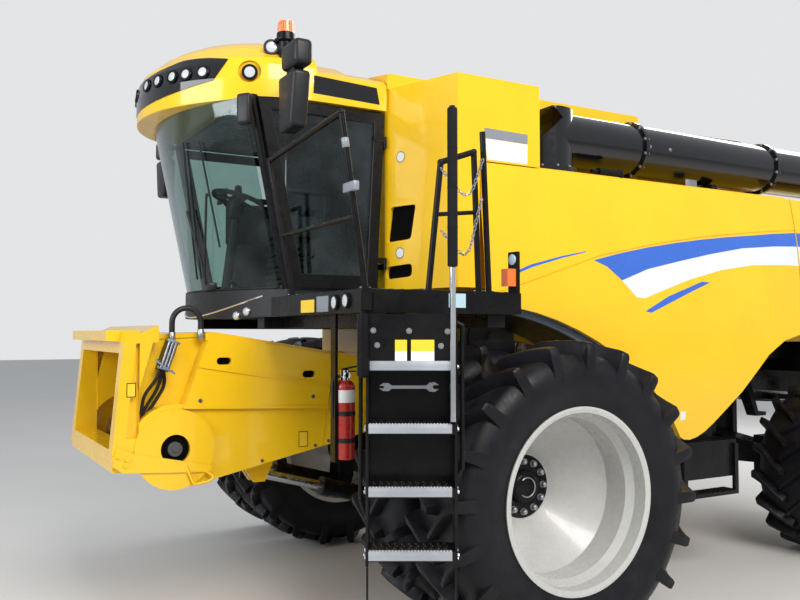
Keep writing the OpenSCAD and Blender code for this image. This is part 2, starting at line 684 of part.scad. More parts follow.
module dust_screen() {
    color(grey) place() {
        about_y(screen_x, hood_right - 50, screen_z) cylinder(r = screen_r, h = 30);
        about_y(screen_x, hood_right - 21, screen_z) cylinder(d = 110, h = 21 - seat_gap);
    }
}
module exhaust() {
    color(steel) place() difference() {
        translate([engine_rear - 130, -500, deck_low + deck_t]) cylinder(d = 140, h = 780);
        translate([engine_rear - 130, -500, 3500]) cylinder(d = 120, h = 780);
    }
}
module straw_hood() {
    color(yellow) place() {
        both_sides() intersection() {
            bulge_band(-panel_t, 0, hood_rear, panel_rear - 5);
            along_y(body_half - 300, body_half + 300)
                polygon([[panel_rear - 5, panel_top], [panel_rear - 5, 1935], [tail_x + 50, 1900],
                [tail_x - 450, 1700], [hood_rear, 1850], [hood_rear, 2450], [tail_x - 350, 2850], [tail_x + 350, panel_top - 20]]);
        }
        along_y(-body_half + 40, body_half - 40)
            polygon([[tail_x - 10, deck_low + deck_t], [tail_x - 10, deck_low], [tail_x - 310, 2800], [tail_x - 650, 2430],
            [tail_x - 650, 1900], [hood_rear, 1900], [hood_rear, 2450], [tail_x - 350, 2850]]);
    }
}
module chopper() {
    color(grey) place() {
        difference() {
            along_y(-hull_half, hull_half) polygon([[tail_x, 1560], [tail_x, 1860], [tail_x - 630, 1860],
                [tail_x - 700, 1340], [tail_x - 470, 1285], [tail_x - 230, 1330]]);
            along_y(-hull_half + 40, hull_half - 40)
                polygon([[tail_x - 50, 1590], [tail_x - 50, 1820], [tail_x - 590, 1820], [tail_x - 750, 1400], [tail_x - 750, 1360],
                [tail_x - 480, 1352], [tail_x - 250, 1368]]);
        }
        // Arms and stubs of the spreader discs
        both_sides() {
            block(spreader_x - 70, tail_x - 470, spreader_y - 60, spreader_y + 60, 1340, 1390);
            translate([spreader_x, spreader_y, 1240]) cylinder(d = 50, h = 120);
        }
    }
}
module spreader(y) {
    color(grey) translate([spreader_x, y, 1180]) difference() {
        union() {
            cylinder(d = 620, h = 16);
            for (i = [0 : 5]) rotate(i * 60) translate([40, -8, 0]) cube([260, 16, 90]);
            cylinder(d = 120, h = 150);
        }
        translate([0, 0, 50]) cylinder(d = 50 + 2 * seat_gap, h = 200);
    }
}
module spreader_left() { place() spreader(spreader_y); }
module spreader_right() { place() spreader(-spreader_y); }

// Feeder

// Side outline of the feeder house
function feeder_outline(inset) = [[380, 1320 + inset], [380, 1720 - inset], [935, 1815 - inset],
    [1770, 1950 - inset], [2240, 1930 - inset], [2240, 1130 + inset], [2150, 1040 + inset * 0.6],
    [1960, 975 + inset], [930, 1190 + inset]];
feeder_face_x = 2240;
drum_at = [2020, 1220];
drum_cover_r = 250;
shield_front = [[1810, 1935], [1975, 1475]];
// Recess in the feeder's side between the shield, the drum's cover and the front face
module feeder_recess(grow, y0, y1) {
    along_y(y0, y1) difference() {
        polygon([[1820 - grow, 1900 + grow], [2160 + grow, 1885 + grow], [feeder_face_x - seat_gap, 1600],
            [feeder_face_x - seat_gap, 1300], [2020, 1300], [1960 - grow, 1500]]);
        translate(drum_at) circle(r = drum_cover_r + 30 - grow);
    }
}
// An upright slot with round ends through the feeder's side
module feeder_slot(x, z) {
    for (dx = [-26, 26]) about_y(x + dx, feeder_half - 60, z) cylinder(d = 46, h = 100);
    block(x - 26, x + 26, feeder_half - 60, feeder_half + 40, z - 23, z + 23);
}
// A raised bead along a line of the feeder's side
module feeder_bead(a, b, h) {
    along_y(feeder_half - 1, feeder_half + h) polygon([a, b, b + [0, -16], a + [0, -16]]);
}
module feeder_house() {
    side = feeder_half - 20;
    color(yellow) place() difference() {
        union() {
            difference() {
                along_y(-side, side) polygon(feeder_outline(0));
                along_y(-side + feeder_wall, side - feeder_wall)
                    polygon(concat([[370, 1320 + feeder_wall], [370, 1720 - feeder_wall]],
                        [for (i = [2 : 3]) feeder_outline(feeder_wall)[i]], [[2250, 1900], [2250, 1160]],
                        [for (i = [6 : 8]) feeder_outline(feeder_wall)[i]]));
            }
            // Raised top edge behind the face
            along_y(-side, side) polygon([[2080, 1935], [2130, 1992], [feeder_face_x - seat_gap, 1940],
                [feeder_face_x - seat_gap, 1900], [2100, 1900]]);
            both_sides() {
                feeder_recess(14, side - 120, side - 1);
                // Shield over the drive with its beads
                along_y(side - 1, feeder_half) polygon([[945, 1440],
                    [935, 1795], shield_front[0], shield_front[1]]);
                feeder_bead([985, 1596], [1895, 1745], 8);
                feeder_bead([960, 1448], [1972, 1486], 10);
                // Round cover of the drum, which stands just off the face's edge
                translate([0, seat_gap, 0]) along_y(side, side + 19) translate(drum_at)
                    circle(r = drum_cover_r);
                about_y(drum_at[0] - 40, side - 1, drum_at[1]) cylinder(r = drum_cover_r - 70, h = 10);
                // Ears on the hull's pins
                about_y(feeder_pivot[0], side - feeder_wall, feeder_pivot[1])
                    cylinder(r = 85, h = feeder_wall);
                along_y(side - feeder_wall, side)
                    polygon([[350, 1500], [350, 1640], [500, 1640], [500, 1500]]);
                // Lugs that the lift rods push
                for (y = [lift_y - 40 - seat_gap - 20, lift_y + 40 + seat_gap]) along_y(y, y + 20)
                    polygon([[1250, 1130], [1340, 930], [1420, 930], [1520, 1080]]);
                about_y(lift_eye[0], lift_y - 60, lift_eye[1]) cylinder(d = eye_pin_d, h = 120);
            }
        }
        both_sides() {
            feeder_recess(0, side - 106, side + 30);
            // Way out for the hose over the top edge
            block(1826, 2126, side - 106, side + 30, 1880, 2060);
            about_y(drum_at[0], side - 60, drum_at[1]) cylinder(r = 92, h = 100);
            about_y(feeder_pivot[0], side - 60, feeder_pivot[1])
                cylinder(d = feeder_pin_d + 2 * seat_gap, h = 100);
            feeder_slot(1714, 1764);
            feeder_slot(1120, 1667);
            // Seam between the front and the rear side sheet
            along_y(side - 8, side + 40) polygon([[926, 1830], [934, 1830], [1011, 1170], [1003, 1170]]);
        }
    }
}
module feeder_drum() {
    length = 2 * (feeder_half - 20 - feeder_wall - seat_gap);
    color(steel) place() {
        about_y(drum_at[0], -length / 2 + 130, drum_at[1]) cylinder(d = drum_d, h = length - 260);
        about_y(drum_at[0], -length / 2, drum_at[1]) cylinder(d = 220, h = length);
    }
}
module feeder_face() {
    side = feeder_half - 20;
    arm_y = side + 19 + 2 * seat_gap;
    color(yellow) place() {
        difference() {
            along_y(-side, side) polygon([[feeder_face_x, 1100], [feeder_face_x, 1960],
                [feeder_front, 1960], [feeder_front + 66, 1235], [feeder_front + 66, 1100]]);
            block(2200, feeder_front + 150, -side + 110, side - 110, 1230, 1820);
            // Slit between the face's post and the side sheet
            both_sides() along_y(side - 40, side + 1)
                polygon([[feeder_face_x - 1, 1880], [2262, 1880], [2318, 1300], [feeder_face_x - 1, 1300]]);
        }
        along_y(-620, 620) polygon([[feeder_front - 1, 1890], [feeder_front - 1, 1960],
            [feeder_front + 90, 1960], [feeder_front + 90, 1895]]);
        both_sides() {
            // Plates that join the posts to the lower arms, and the arms
            along_y(side - 1, arm_y + 14) polygon([[2300, 1110], [2300, 1215], [2376, 1256], [2400, 1144]]);
            along_y(arm_y, arm_y + 14) polygon([[1800, 1067], [1790, 1108], [1880, 1127], [2280, 1213],
                [2376, 1256], [2400, 1144], [2340, 1100]]);
            for (b = [[2366, 1204], [2318, 1182], [2326, 1150]]) about_y(b[0], arm_y + 13, b[1])
                cylinder(d = 34, h = 13, $fn = 6);
        }
    }
}
// Coupler block in the left recess and the hose that loops over it
module feeder_hose() {
    hose_y = feeder_half - 70;
    hose_d = 36;
    loop = [1940, 2010];
    loop_r = 92;
    color(rubber) place() {
        along_y(feeder_half - 126 + seat_gap, hose_y + 40)
            polygon([[2062, 1700], [2000, 1880], [2060, 1899], [2122, 1720]]);
        translate([loop[0] + loop_r, hose_y, 1860]) cylinder(d = hose_d, h = loop[1] - 1860);
        about_y(loop[0], hose_y, loop[1]) rotate(180) rotate_extrude(angle = 180) translate([loop_r, 0])
            circle(d = hose_d);
        translate([loop[0] - loop_r, hose_y, 1906]) cylinder(d = hose_d, h = loop[1] - 1906);
    }
}

// Lift cylinders

lift_y = 450;
lift_foot = [300, 690];
lift_eye = [1380, 985];
lift_pin_d = 50;
// Half the room between the brackets of a lift cylinder
lift_cheek = barrel_d / 2 + 4;
eye_pin_d = 45;
feeder_pin_d = 90;
barrel_len = 620;
rod_len = 600;
lift_dir = (lift_eye - lift_foot) / norm(lift_eye - lift_foot);
// A round bar along the left lift cylinder between two distances from its foot
module lift_bar(from, to, d) {
    a = lift_foot + lift_dir * from;
    translate([a[0], lift_y, a[1]]) rotate([0, 90 - atan2(lift_dir[1], lift_dir[0]), 0])
        cylinder(d = d, h = to - from);
}
module lift_barrels() {
    color(black) place() both_sides() difference() {
        union() {
            about_y(lift_foot[0], lift_y - lift_cheek + seat_gap, lift_foot[1])
                cylinder(d = 110, h = 2 * (lift_cheek - seat_gap));
            lift_bar(30, barrel_len - 60, barrel_d);
            lift_bar(barrel_len - 70, barrel_len, barrel_d + 16);
        }
        about_y(lift_foot[0], lift_y - lift_cheek - 10, lift_foot[1])
            cylinder(d = lift_pin_d + 2 * seat_gap, h = 2 * lift_cheek + 20);
        lift_bar(160, barrel_len + 10, rod_d + 2 * seat_gap);
    }
}
module lift_rods() {
    reach = norm(lift_eye - lift_foot);
    color(steel) place() both_sides() difference() {
        union() {
            lift_bar(reach - rod_len, reach - 30, rod_d);
            about_y(lift_eye[0], lift_y - 40, lift_eye[1]) cylinder(d = 116, h = 80);
        }
        about_y(lift_eye[0], lift_y - 50, lift_eye[1]) cylinder(d = eye_pin_d + 32, h = 100);
    }
}

// Cab

glass_r = 1256;
glass_x = 410;
glass_tilt = 12;
// Length of the curved windshield before its ends are cut
glass_len = roof_base - cab_floor + 800;
pillar_y = cab_half - pillar_w / 2 - seat_gap;
knuckle_d = 22;
door_hinge = [636, cab_half + 32];
door_hinge_z = [cab_floor + 190, roof_base - 220];
door_bottom = cab_floor + 10;
door_top = roof_base - 20;
function door_outline() = [[700, door_bottom], [640, door_top], [1565, door_top], [1310, door_bottom]];
function door_window() = [[770, door_bottom + 90], [715, door_top - 70], [1475, door_top - 70],
    [1262, door_bottom + 90]];
module cab_base() {
    color(black) place() along_z(cab_bottom, cab_floor) intersection() {
        translate([cab_rear, -cab_half]) square([1100, 2 * cab_half]);
        translate([glass_x, 0]) circle(r = glass_r + 40);
    }
}
module cab_frame() {
    color(black) place() {
        // Rear wall, headliner and the frame of the right window
        block(cab_rear - 5, cab_rear + 15, -pillar_y + 60, pillar_y - 60, cab_floor, roof_base - 31);
        block(cab_rear + 15 - 1, 1590, -pillar_y + 36, pillar_y - 36, roof_base - 30, roof_base - seat_gap);
        difference() {
            along_y(-cab_half - glass - 22, -cab_half - glass - seat_gap) polygon(door_outline());
            along_y(-cab_half - 60, -cab_half) polygon(door_window());
        }
        // Fixed knuckles of the door's hinges
        for (z = door_hinge_z) {
            translate([door_hinge[0], door_hinge[1], z - 40]) cylinder(d = knuckle_d, h = 40 - seat_gap);
            block(door_hinge[0] - 10, door_hinge[0] + 10, pillar_y - 15, door_hinge[1] - 2, z - 40,
                z - seat_gap);
            block(door_hinge[0] - 10, door_hinge[0] + 44, pillar_y - 15, pillar_y + 15, z - 40, z - seat_gap);
        }
    }
    color(black) place() intersection() {
        union() both_sides() {
            bar([1320, pillar_y, cab_floor - 20], [1584, pillar_y, roof_base + 20], pillar_w);
            bar([cab_rear + 60, pillar_y, cab_floor - 20],
                [cab_rear + 40, pillar_y, roof_base + 20], pillar_w);
        }
        along_y(-2000, 2000) polygon(concat([[0, cab_floor], [0, roof_base - seat_gap]],
            [for (i = [1 : 4]) roof_under()[i] - [0, seat_gap]], [[2180, cab_floor]]));
    }
}
// A height measured from the roof's lower edge
function up(h) = roof_base + h;
// Middle of the roof's rounded front
visor_x = 1150;
visor_tip = visor_x + roof_r + 20;
// Line under the roof from the rear to the visor's tip
function roof_under() = [[cab_rear - 10, up(0)], [1600, up(0)], [1700, up(-22)], [1900, up(-36)],
    [visor_tip, up(-40)]];
// Section of the rounded front: distance from its middle and height
visor = [[0, up(-90)], [roof_r - 15, up(-90)], [roof_r, up(-30)], [roof_r, up(120)],
    [roof_r - 12, up(220)], [roof_r - 35, up(270)], [roof_r - 65, up(290)], [roof_r - 140, up(360)],
    [roof_r - 205, up(402)], [roof_r - 290, up(445)], [roof_r - 490, roof_top - 5], [0, roof_top]];
module visor_turn() { translate([visor_x, 0, 0]) rotate_extrude($fn = 120) children(); }
// Half section of the low rear part of the roof, whose middle falls towards the rear
function rear_section(top) = [[-roof_r, up(-80)], [-roof_r, up(175)], [-roof_r + 40, up(212)],
    [-roof_r + 240, top - 110], [-roof_r + 520, top - 40], [0, top], [roof_r - 520, top - 40],
    [roof_r - 240, top - 110], [roof_r - 40, up(212)], [roof_r, up(175)], [roof_r, up(-80)]];
// Side outline of the lamp band, which ends in a point on each side
function band_outline() = [[visor_tip, up(20)], [1785, up(108)], [1698, up(254)], [1795, up(269)],
    [1905, up(280)], [2040, up(242)], [visor_tip, up(210)]];
// Side outline of the dark strip at each side of the roof
function strip_outline() = [[1183, up(49)], [1176, up(170)], [706, up(152)], [682, up(37)]];
// Lamps of the band: angle from straight ahead
band_lamps = [9, 18.4, 27.8, 35, 43];
band_lamp_z = up(168);
// Work lamps at each side: angle, distance, height and length
work_lamps = [[62.3, roof_r - 60, up(160), 50], [71, roof_r - 170, up(352), 92]];
work_lamp_d = 96;
// A round bar that points outward from the middle of the visor
module outward(angle, from, to, z, d) {
    translate([visor_x, 0, z]) rotate(angle) translate([from, 0, 0]) rotate([0, 90, 0])
        cylinder(d = d, h = to - from);
}
module cab_roof() {
    color(yellow) place() difference() {
        intersection() {
            union() {
                intersection() {
                    visor_turn() polygon(visor);
                    block(visor_x, far, -far, far, 0, far);
                }
                along_x(900, visor_x + 1) polygon(rear_section(roof_top - 45));
                along_x(cab_rear - 10, 901) polygon(rear_section(roof_top - 70));
            }
            along_y(-far, far) polygon(concat(roof_under(), [[far, up(-40)], [far, far],
                [cab_rear - 10, far]]));
        }
        // Seats of the lamp band, the side strips, the lamps and the beacons' stems
        intersection() {
            visor_turn() polygon([[roof_r - 22, up(-21)], [roof_r - 22, up(118)], [roof_r - 32, up(212)],
                [roof_r - 52, up(256)], [roof_r - 78, up(280)], [roof_r - 60, up(295)],
                [roof_r + 60, up(295)], [roof_r + 60, up(-21)]]);
            along_y(-far, far) polygon(band_outline());
        }
        both_sides() {
            along_y(roof_r - 8, roof_r + 9) polygon(strip_outline());
            for (w = work_lamps) outward(w[0], w[1], w[1] + 200, w[2], work_lamp_d + 2 * seat_gap);
            outward(work_lamps[0][0], roof_r - 35, roof_r + 160, up(165), 150);
            translate([beacon_at[0], beacon_at[1], up(120)]) cylinder(d = beacon_d + 2 * seat_gap, h = 400);
        }
    }
}
module roof_trim() {
    color(black) place() {
        intersection() {
            visor_turn() polygon([[roof_r + 4, up(-20)], [roof_r + 4, up(120)], [roof_r - 8, up(222)],
                [roof_r - 32, up(274)], [roof_r - 60, up(294)], [roof_r - 77, up(280)],
                [roof_r - 52 + seat_gap, up(256)], [roof_r - 32 + seat_gap, up(212)],
                [roof_r - 22 + seat_gap, up(118)], [roof_r - 22 + seat_gap, up(-20)]]);
            along_y(-far, far) polygon(band_outline());
        }
        both_sides() along_y(roof_r - 8 + seat_gap, roof_r - 1) polygon(strip_outline());
    }
}
module roof_lamps() {
    color(steel) place() both_sides() {
        for (a = band_lamps) translate([visor_x, 0, band_lamp_z]) rotate(a) translate([roof_r - 1.25, 0, 0])
            rotate([0, 83, 0]) cylinder(d = 82, h = 9);
        for (w = work_lamps) outward(w[0], w[1] + seat_gap, w[1] + w[3], w[2], work_lamp_d);
    }
}
module cab_glass() {
    color(glass_tint) place() {
        intersection() {
            translate([glass_x, 0, cab_floor]) rotate([0, glass_tilt, 0]) translate([0, 0, -400])
                difference() {
                cylinder(r = glass_r, h = glass_len, $fn = 160);
                translate([0, 0, -10]) cylinder(r = glass_r - glass, h = glass_len + 20, $fn = 160);
            }
            along_y(-pillar_y + pillar_w / 2 + 4, pillar_y - pillar_w / 2 - 4)
                polygon(concat([[1200, cab_floor + seat_gap], [1200, roof_base - seat_gap]],
                [for (i = [1 : 4]) roof_under()[i] - [0, seat_gap]], [[2180, cab_floor + seat_gap]]));
        }
        // Fixed window on the right side
        along_y(-cab_half - glass, -cab_half) polygon([[700, cab_floor], [650, roof_base],
            [1560, roof_base], [1320, cab_floor]]);
    }
}
module door_frame() {
    color(black) place() for (z = door_hinge_z) {
        translate([door_hinge[0], door_hinge[1], z]) cylinder(d = knuckle_d, h = 40);
        block(door_hinge[0], 725, door_hinge[1] - 4, door_hinge[1] + 4, z, z + 40);
    }
    color(black) place() difference() {
        along_y(cab_half, cab_half + 32) polygon(door_outline());
        along_y(cab_half - 10, cab_half + 50) polygon(door_window());
    }
}
module door_glass() {
    color(glass_tint) place() along_y(cab_half + 11, cab_half + 11 + glass) polygon(door_window());
}
module seat() {
    color(black) place() {
        block(760, 1165, -260, 260, 2700, 2820);
        block(700, 800, -240, 240, 2820, roof_base - 130);
        block(860, 1100, -160, 160, cab_floor, 2700);
    }
}
module steering_column() {
    color(black) place() intersection() {
        union() {
            bar([1470, 0, cab_floor - 60], [1374, 0, 2920], 70);
            translate([1370, 0, 2930]) rotate([0, -16, 0]) {
                rotate_extrude() translate([185, 0]) circle(r = 17, $fn = 24);
                for (a = [90, 210, 330]) rotate(a) translate([0, -14, -10]) cube([186, 28, 20]);
            }
        }
        block(500, 2000, -500, 500, cab_floor, 3500);
    }
}
module mirrors() {
    color(black) place() both_sides() {
        along_x(1485, 1570) polygon([[1350, up(-340)], [1510, up(-330)], [1560, up(-30)], [1335, up(-25)]]);
        block(1495, 1555, 1400, 1500, up(-40), up(20));
        block(1478, 1575, 1385, 1585, up(10), up(145));
        // Arm and the bracket beside the roof
        bar([beacon_at[0] + 15, roof_r + 5, up(85)], [1525, 1470, up(80)], 40);
        intersection() {
            visor_turn() polygon([[roof_r + seat_gap, up(50)], [roof_r + 30, up(50)],
                [roof_r + 30, up(120)], [roof_r + seat_gap, up(120)]]);
            block(beacon_at[0] - 45, beacon_at[0] + 60, roof_r - 140, roof_r + 60, up(20), up(170));
        }
    }
}
beacon_at = [1345, roof_r - 85];
beacon_d = 60;
// Beacons on the roof's edges, with the amber lamps of the platform and the rear
module beacons() {
    color("orange") place() {
        both_sides() {
            translate([beacon_at[0], beacon_at[1], up(120) + seat_gap]) cylinder(d = beacon_d, h = 300);
            translate([beacon_at[0], beacon_at[1], up(410)]) cylinder(d1 = 112, d2 = 100, h = 110);
            block(hood_rear - 18, hood_rear - seat_gap, body_half - 170, body_half - 70, 2000, 2300);
        }
        block(470 + seat_gap, 530, 2120, 2180, platform_z + 40, platform_z + 140);
    }
}

// Platform and ladder

module platform() {
    color(black) place() {
        block(450, 1470, cab_half + 45, platform_y, cab_bottom, platform_z);
        block(450, 470, 2105, 2190, platform_z - 1, platform_z + 240);
        // Bracket and shelf of the extinguisher
        block(1330 + 58 + seat_gap, 1404, 1690, 1750, 1224, cab_bottom + 1);
        block(1290, 1404, 1690, 1750, 1224, 1240 - seat_gap);
        // Bracket and pin of the ladder
        along_z(platform_z - platform_t, platform_z - 20)
            polygon([[1400, platform_y - 1], [hinge_x + 30, platform_y - 1], [hinge_x + 30, hinge_y + 30],
            [hinge_x - 30, hinge_y + 30]]);
        translate([hinge_x, hinge_y, 1720]) cylinder(d = ladder_pin_d, h = platform_z - 1750);
    }
}
// A post's foot on the platform
module foot(x, y) { translate([x, y, platform_z]) cylinder(d = rail_d + 36, h = 8); }
module rails() {
    z = platform_z + 5;
    color(black) place() {
        tube([[1430, 1196, z], [1560, 1130, up(-470)], [1560, 2140, up(-400)], [1430, 2160, z]], rail_d);
        bar([1486, 1168, 2545], [1486, 2146, 2545], rail_d - 10);
        foot(1430, 1196);
        foot(1430, 2160);
        tube([[1040, 2150, z], [960, 2150, 2880], [740, 2150, 2960], [710, 2150, z]], rail_d);
        bar([992, 2150, 2590], [727, 2150, 2620], rail_d - 10);
        foot(1040, 2150);
        foot(710, 2150);
        bar([640, 2150, z], [680, 2150, up(-400)], rail_d);
        foot(640, 2150);
    }
}
// Side loops to hold, drawn beside the ladder's stringers
loop_d = 22;
strap_len = 330;
module ladder() {
    top = cab_bottom - swing_gap;
    first = 1750;
    low = first - (step_count - 1) * step_pitch;
    color(black) place() translate([hinge_x, hinge_y, 0]) rotate(180 - ladder_angle) difference() {
        union() {
            for (x = [12, ladder_w - 14]) translate([x, 0, low - 20]) cube([14, step_depth, top - low + 20]);
            for (i = [0 : step_count - 1]) translate([13, 0, first - i * step_pitch])
                cube([ladder_w - 26, step_depth, 50]);
            translate([0, 0, 1730]) cylinder(d = ladder_pin_d + 36, h = top - 1730);
            // Board over the top step and the sheet behind the upper steps
            translate([13, 0, first + 49]) cube([ladder_w - 13, 8, top - first - 49]);
            translate([13, step_depth - 6, first - 2 * step_pitch])
                cube([ladder_w - 26, 6, arm_low - swing_gap - first + 2 * step_pitch]);
            // Padded rail at the outer edge and the two loops
            translate([ladder_w - 24, -12, 1500]) cylinder(d = 30, h = 1600);
            tube([[ladder_w - 8, 40, top - 40], [ladder_w + 26, 40, top - 60], [ladder_w + 26, 40, 1260],
                [ladder_w - 8, 40, 1215]], loop_d);
            tube([[16, 60, top - 40], [-16, 60, top - 60], [-16, 60, 1100], [16, 60, 1000]], loop_d);
            // Lowest step, which hangs on straps
            for (x = [14, ladder_w - 8]) translate([x, 50, low - 21 - strap_len])
                cube([8, 80, strap_len + 40]);
            translate([14, 30, low - 21 - strap_len]) cube([ladder_w - 14, 120, 40]);
        }
        translate([0, 0, 1000]) cylinder(d = ladder_pin_d + 2 * seat_gap, h = 2000);
    }
}
module extinguisher() {
    color(red) place() {
        translate([1330, 1720, 1240]) cylinder(d = 116, h = 400);
        translate([1330, 1720, 1640]) cylinder(d = 50, h = 80);
    }
}

// Left and right copies of the pieces that come in pairs

module rear_rim_left() { place() rear_rim(); }
module rear_rim_right() { place() right_side() rear_rim(); }
module rear_tyre_left() { place() rear_tyre(rear_y); }
module rear_tyre_right() { place() right_side() rear_tyre(rear_y); }
module front_rims_left() { place() front_rims(); }
module front_rims_right() { place() right_side() front_rims(); }
module front_tyre_outer_left() { place() front_tyre(front_outer_y); }
module front_tyre_inner_left() { place() front_tyre(front_inner_y); }
module front_tyre_outer_right() { place() right_side() front_tyre(front_outer_y); }
module front_tyre_inner_right() { place() right_side() front_tyre(front_inner_y); }
module knuckle_left() { place() knuckle(); }
module knuckle_right() { place() right_side() knuckle(); }

chassis();
threshing_hull();
belt_drives();
front_axle();
grain_tank();
fountain_auger();
tank_cover_left();
tank_cover_right();
auger_tower();
unloading_auger();
auger_saddle();
side_panel_left();
side_panel_right();
arch_liners();
deck();
engine_block();
engine_hood();
dust_screen();
exhaust();
straw_hood();
chopper();
spreader_left();
spreader_right();
tool_box();
rear_axle();
knuckle_left();
knuckle_right();
steering_rod();
rear_rim_left();
rear_rim_right();
rear_tyre_left();
rear_tyre_right();
front_rims_left();
front_rims_right();
front_tyre_outer_left();
front_tyre_inner_left();
front_tyre_outer_right();
front_tyre_inner_right();
feeder_house();
feeder_drum();
feeder_face();
feeder_hose();
lift_barrels();
lift_rods();
cab_base();
cab_frame();
cab_roof();
roof_trim();
roof_lamps();
cab_glass();
door_frame();
door_glass();
seat();
steering_column();
mirrors();
beacons();
platform();
rails();
ladder();
extinguisher();
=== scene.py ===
"""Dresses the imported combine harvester: materials, treaded tyres, seat, lamps, trim, floor, light and camera.

Shapes are in millimetres, as in the part's source, measured from the ground under the front axle on the
machine's centre line. +X is forward, +Y the machine's left and +Z up. TO_FRAME takes them to the frame,
which is in metres.
"""
import json
import math

import bmesh
import bpy
from mathutils import Matrix, Vector


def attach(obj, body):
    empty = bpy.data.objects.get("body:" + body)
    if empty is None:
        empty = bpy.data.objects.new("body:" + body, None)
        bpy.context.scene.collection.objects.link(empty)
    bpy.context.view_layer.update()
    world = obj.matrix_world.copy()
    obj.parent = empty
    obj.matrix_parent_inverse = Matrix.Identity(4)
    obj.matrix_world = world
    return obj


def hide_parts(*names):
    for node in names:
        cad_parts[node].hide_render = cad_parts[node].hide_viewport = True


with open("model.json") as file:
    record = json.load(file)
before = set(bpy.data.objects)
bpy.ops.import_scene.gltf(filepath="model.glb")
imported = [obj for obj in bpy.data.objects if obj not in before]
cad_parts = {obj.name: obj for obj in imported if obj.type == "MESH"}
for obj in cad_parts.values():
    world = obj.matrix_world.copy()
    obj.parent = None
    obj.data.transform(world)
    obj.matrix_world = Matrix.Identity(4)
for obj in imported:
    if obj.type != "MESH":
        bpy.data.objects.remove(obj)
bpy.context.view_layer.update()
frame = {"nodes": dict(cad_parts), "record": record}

X, Y, Z = Vector((1, 0, 0)), Vector((0, 1, 0)), Vector((0, 0, 1))
SIDES = (("left", 1), ("right", -1))
MM = 0.001
TO_FRAME = Matrix.Translation((2.25, -0.105, 0)) @ Matrix.Scale(MM, 4)


def new_object(name, data):
    obj = bpy.data.objects.new(name, data)
    bpy.context.scene.collection.objects.link(obj)
    return obj


# Camera, at the photograph's angle

CAMERA_AT = (3460, 6050, 1947)
CAMERA_YAW = 29.9
CAMERA_PITCH = 2.19
LENS_MM, SENSOR_MM = 38.25, 36


def make_camera():
    data = bpy.data.cameras.new("camera")
    data.lens = LENS_MM
    data.sensor_width = SENSOR_MM
    data.clip_end = 200
    camera = new_object("camera", data)
    camera.location = TO_FRAME @ Vector(CAMERA_AT)
    camera.rotation_euler = (math.radians(90 + CAMERA_PITCH), 0, math.radians(180 - CAMERA_YAW))
    bpy.context.scene.camera = camera


make_camera()


# Material nodes

def set_inputs(tree, node, inputs):
    """Gives each input its value, or links it to the output that is given."""
    for name, value in inputs.items():
        if isinstance(value, bpy.types.NodeSocket):
            tree.links.new(value, node.inputs[name])
        else:
            node.inputs[name].default_value = value


def add_node(tree, kind, inputs, **settings):
    node = tree.nodes.new("ShaderNode" + kind)
    for name, value in settings.items():
        setattr(node, name, value)
    set_inputs(tree, node, inputs)
    return node


def new_material(name):
    """A material with its node tree, its main shader and the coordinates of its object."""
    material = bpy.data.materials.new(name)
    material.use_nodes = True
    tree = material.node_tree
    return material, tree, tree.nodes["Principled BSDF"], add_node(tree, "TexCoord", {}).outputs["Object"]


def noise(tree, coord, scale, detail):
    return add_node(tree, "TexNoise", {"Vector": coord, "Scale": scale, "Detail": detail}).outputs["Fac"]


def ranged(tree, value, low, high, out_low, out_high):
    inputs = {"Value": value, "From Min": low, "From Max": high, "To Min": out_low, "To Max": out_high}
    return add_node(tree, "MapRange", inputs).outputs["Result"]


def mixed(tree, factor, a, b):
    """A colour between a and b. Each is a colour or an output."""
    a, b = ((*colour, 1) if isinstance(colour, tuple) else colour for colour in (a, b))
    return add_node(tree, "Mix", {"Factor": factor, 6: a, 7: b}, data_type="RGBA").outputs[2]


def reckoned(tree, operation, a, b, clamp=False):
    return add_node(tree, "Math", {0: a, 1: b}, operation=operation, use_clamp=clamp).outputs[0]


def shade(colour, factor):
    return tuple(min(1, c * factor) for c in colour)


# Materials

DUST = (0.33, 0.27, 0.19)
COAT_ROUGH = 0.06
BUMP_STRENGTH = 0.6


def surface(name, colour, rough, metallic=0, coat=0, dust=0, vary=0.06, grain=0, grain_scale=300,
            rough_vary=0.08, vary_scale=2.5, specular=0.5):
    """Paint, plastic, rubber or metal, with uneven colour, a fine bump, and dust where it faces up."""
    material, tree, shader, coord = new_material(name)
    patches = ranged(tree, noise(tree, coord, vary_scale, 4), 0.35, 0.65, 0, 1)
    base = mixed(tree, patches, shade(colour, 1 - vary), shade(colour, 1 + vary))
    if dust:
        normal = add_node(tree, "NewGeometry", {}).outputs["Normal"]
        height = add_node(tree, "SeparateXYZ", {"Vector": normal}).outputs["Z"]
        upward = ranged(tree, height, -0.2, 1, 0.15, 1)
        speckle = ranged(tree, noise(tree, coord, 9, 8), 0.35, 0.75, 0, dust)
        base = mixed(tree, reckoned(tree, "MULTIPLY", upward, speckle), base, DUST)
    smudge = noise(tree, coord, vary_scale * 8, 5)
    uneven = ranged(tree, smudge, 0.3, 0.7, max(0.02, rough - rough_vary), rough + rough_vary)
    inputs = {"Base Color": base, "Roughness": uneven, "Metallic": metallic, "Coat Weight": coat,
              "Coat Roughness": COAT_ROUGH, "Specular IOR Level": specular}
    if grain:
        relief = {"Height": noise(tree, coord, grain_scale, 2), "Distance": grain, "Strength": BUMP_STRENGTH}
        inputs["Normal"] = add_node(tree, "Bump", relief).outputs["Normal"]
    set_inputs(tree, shader, inputs)
    return material


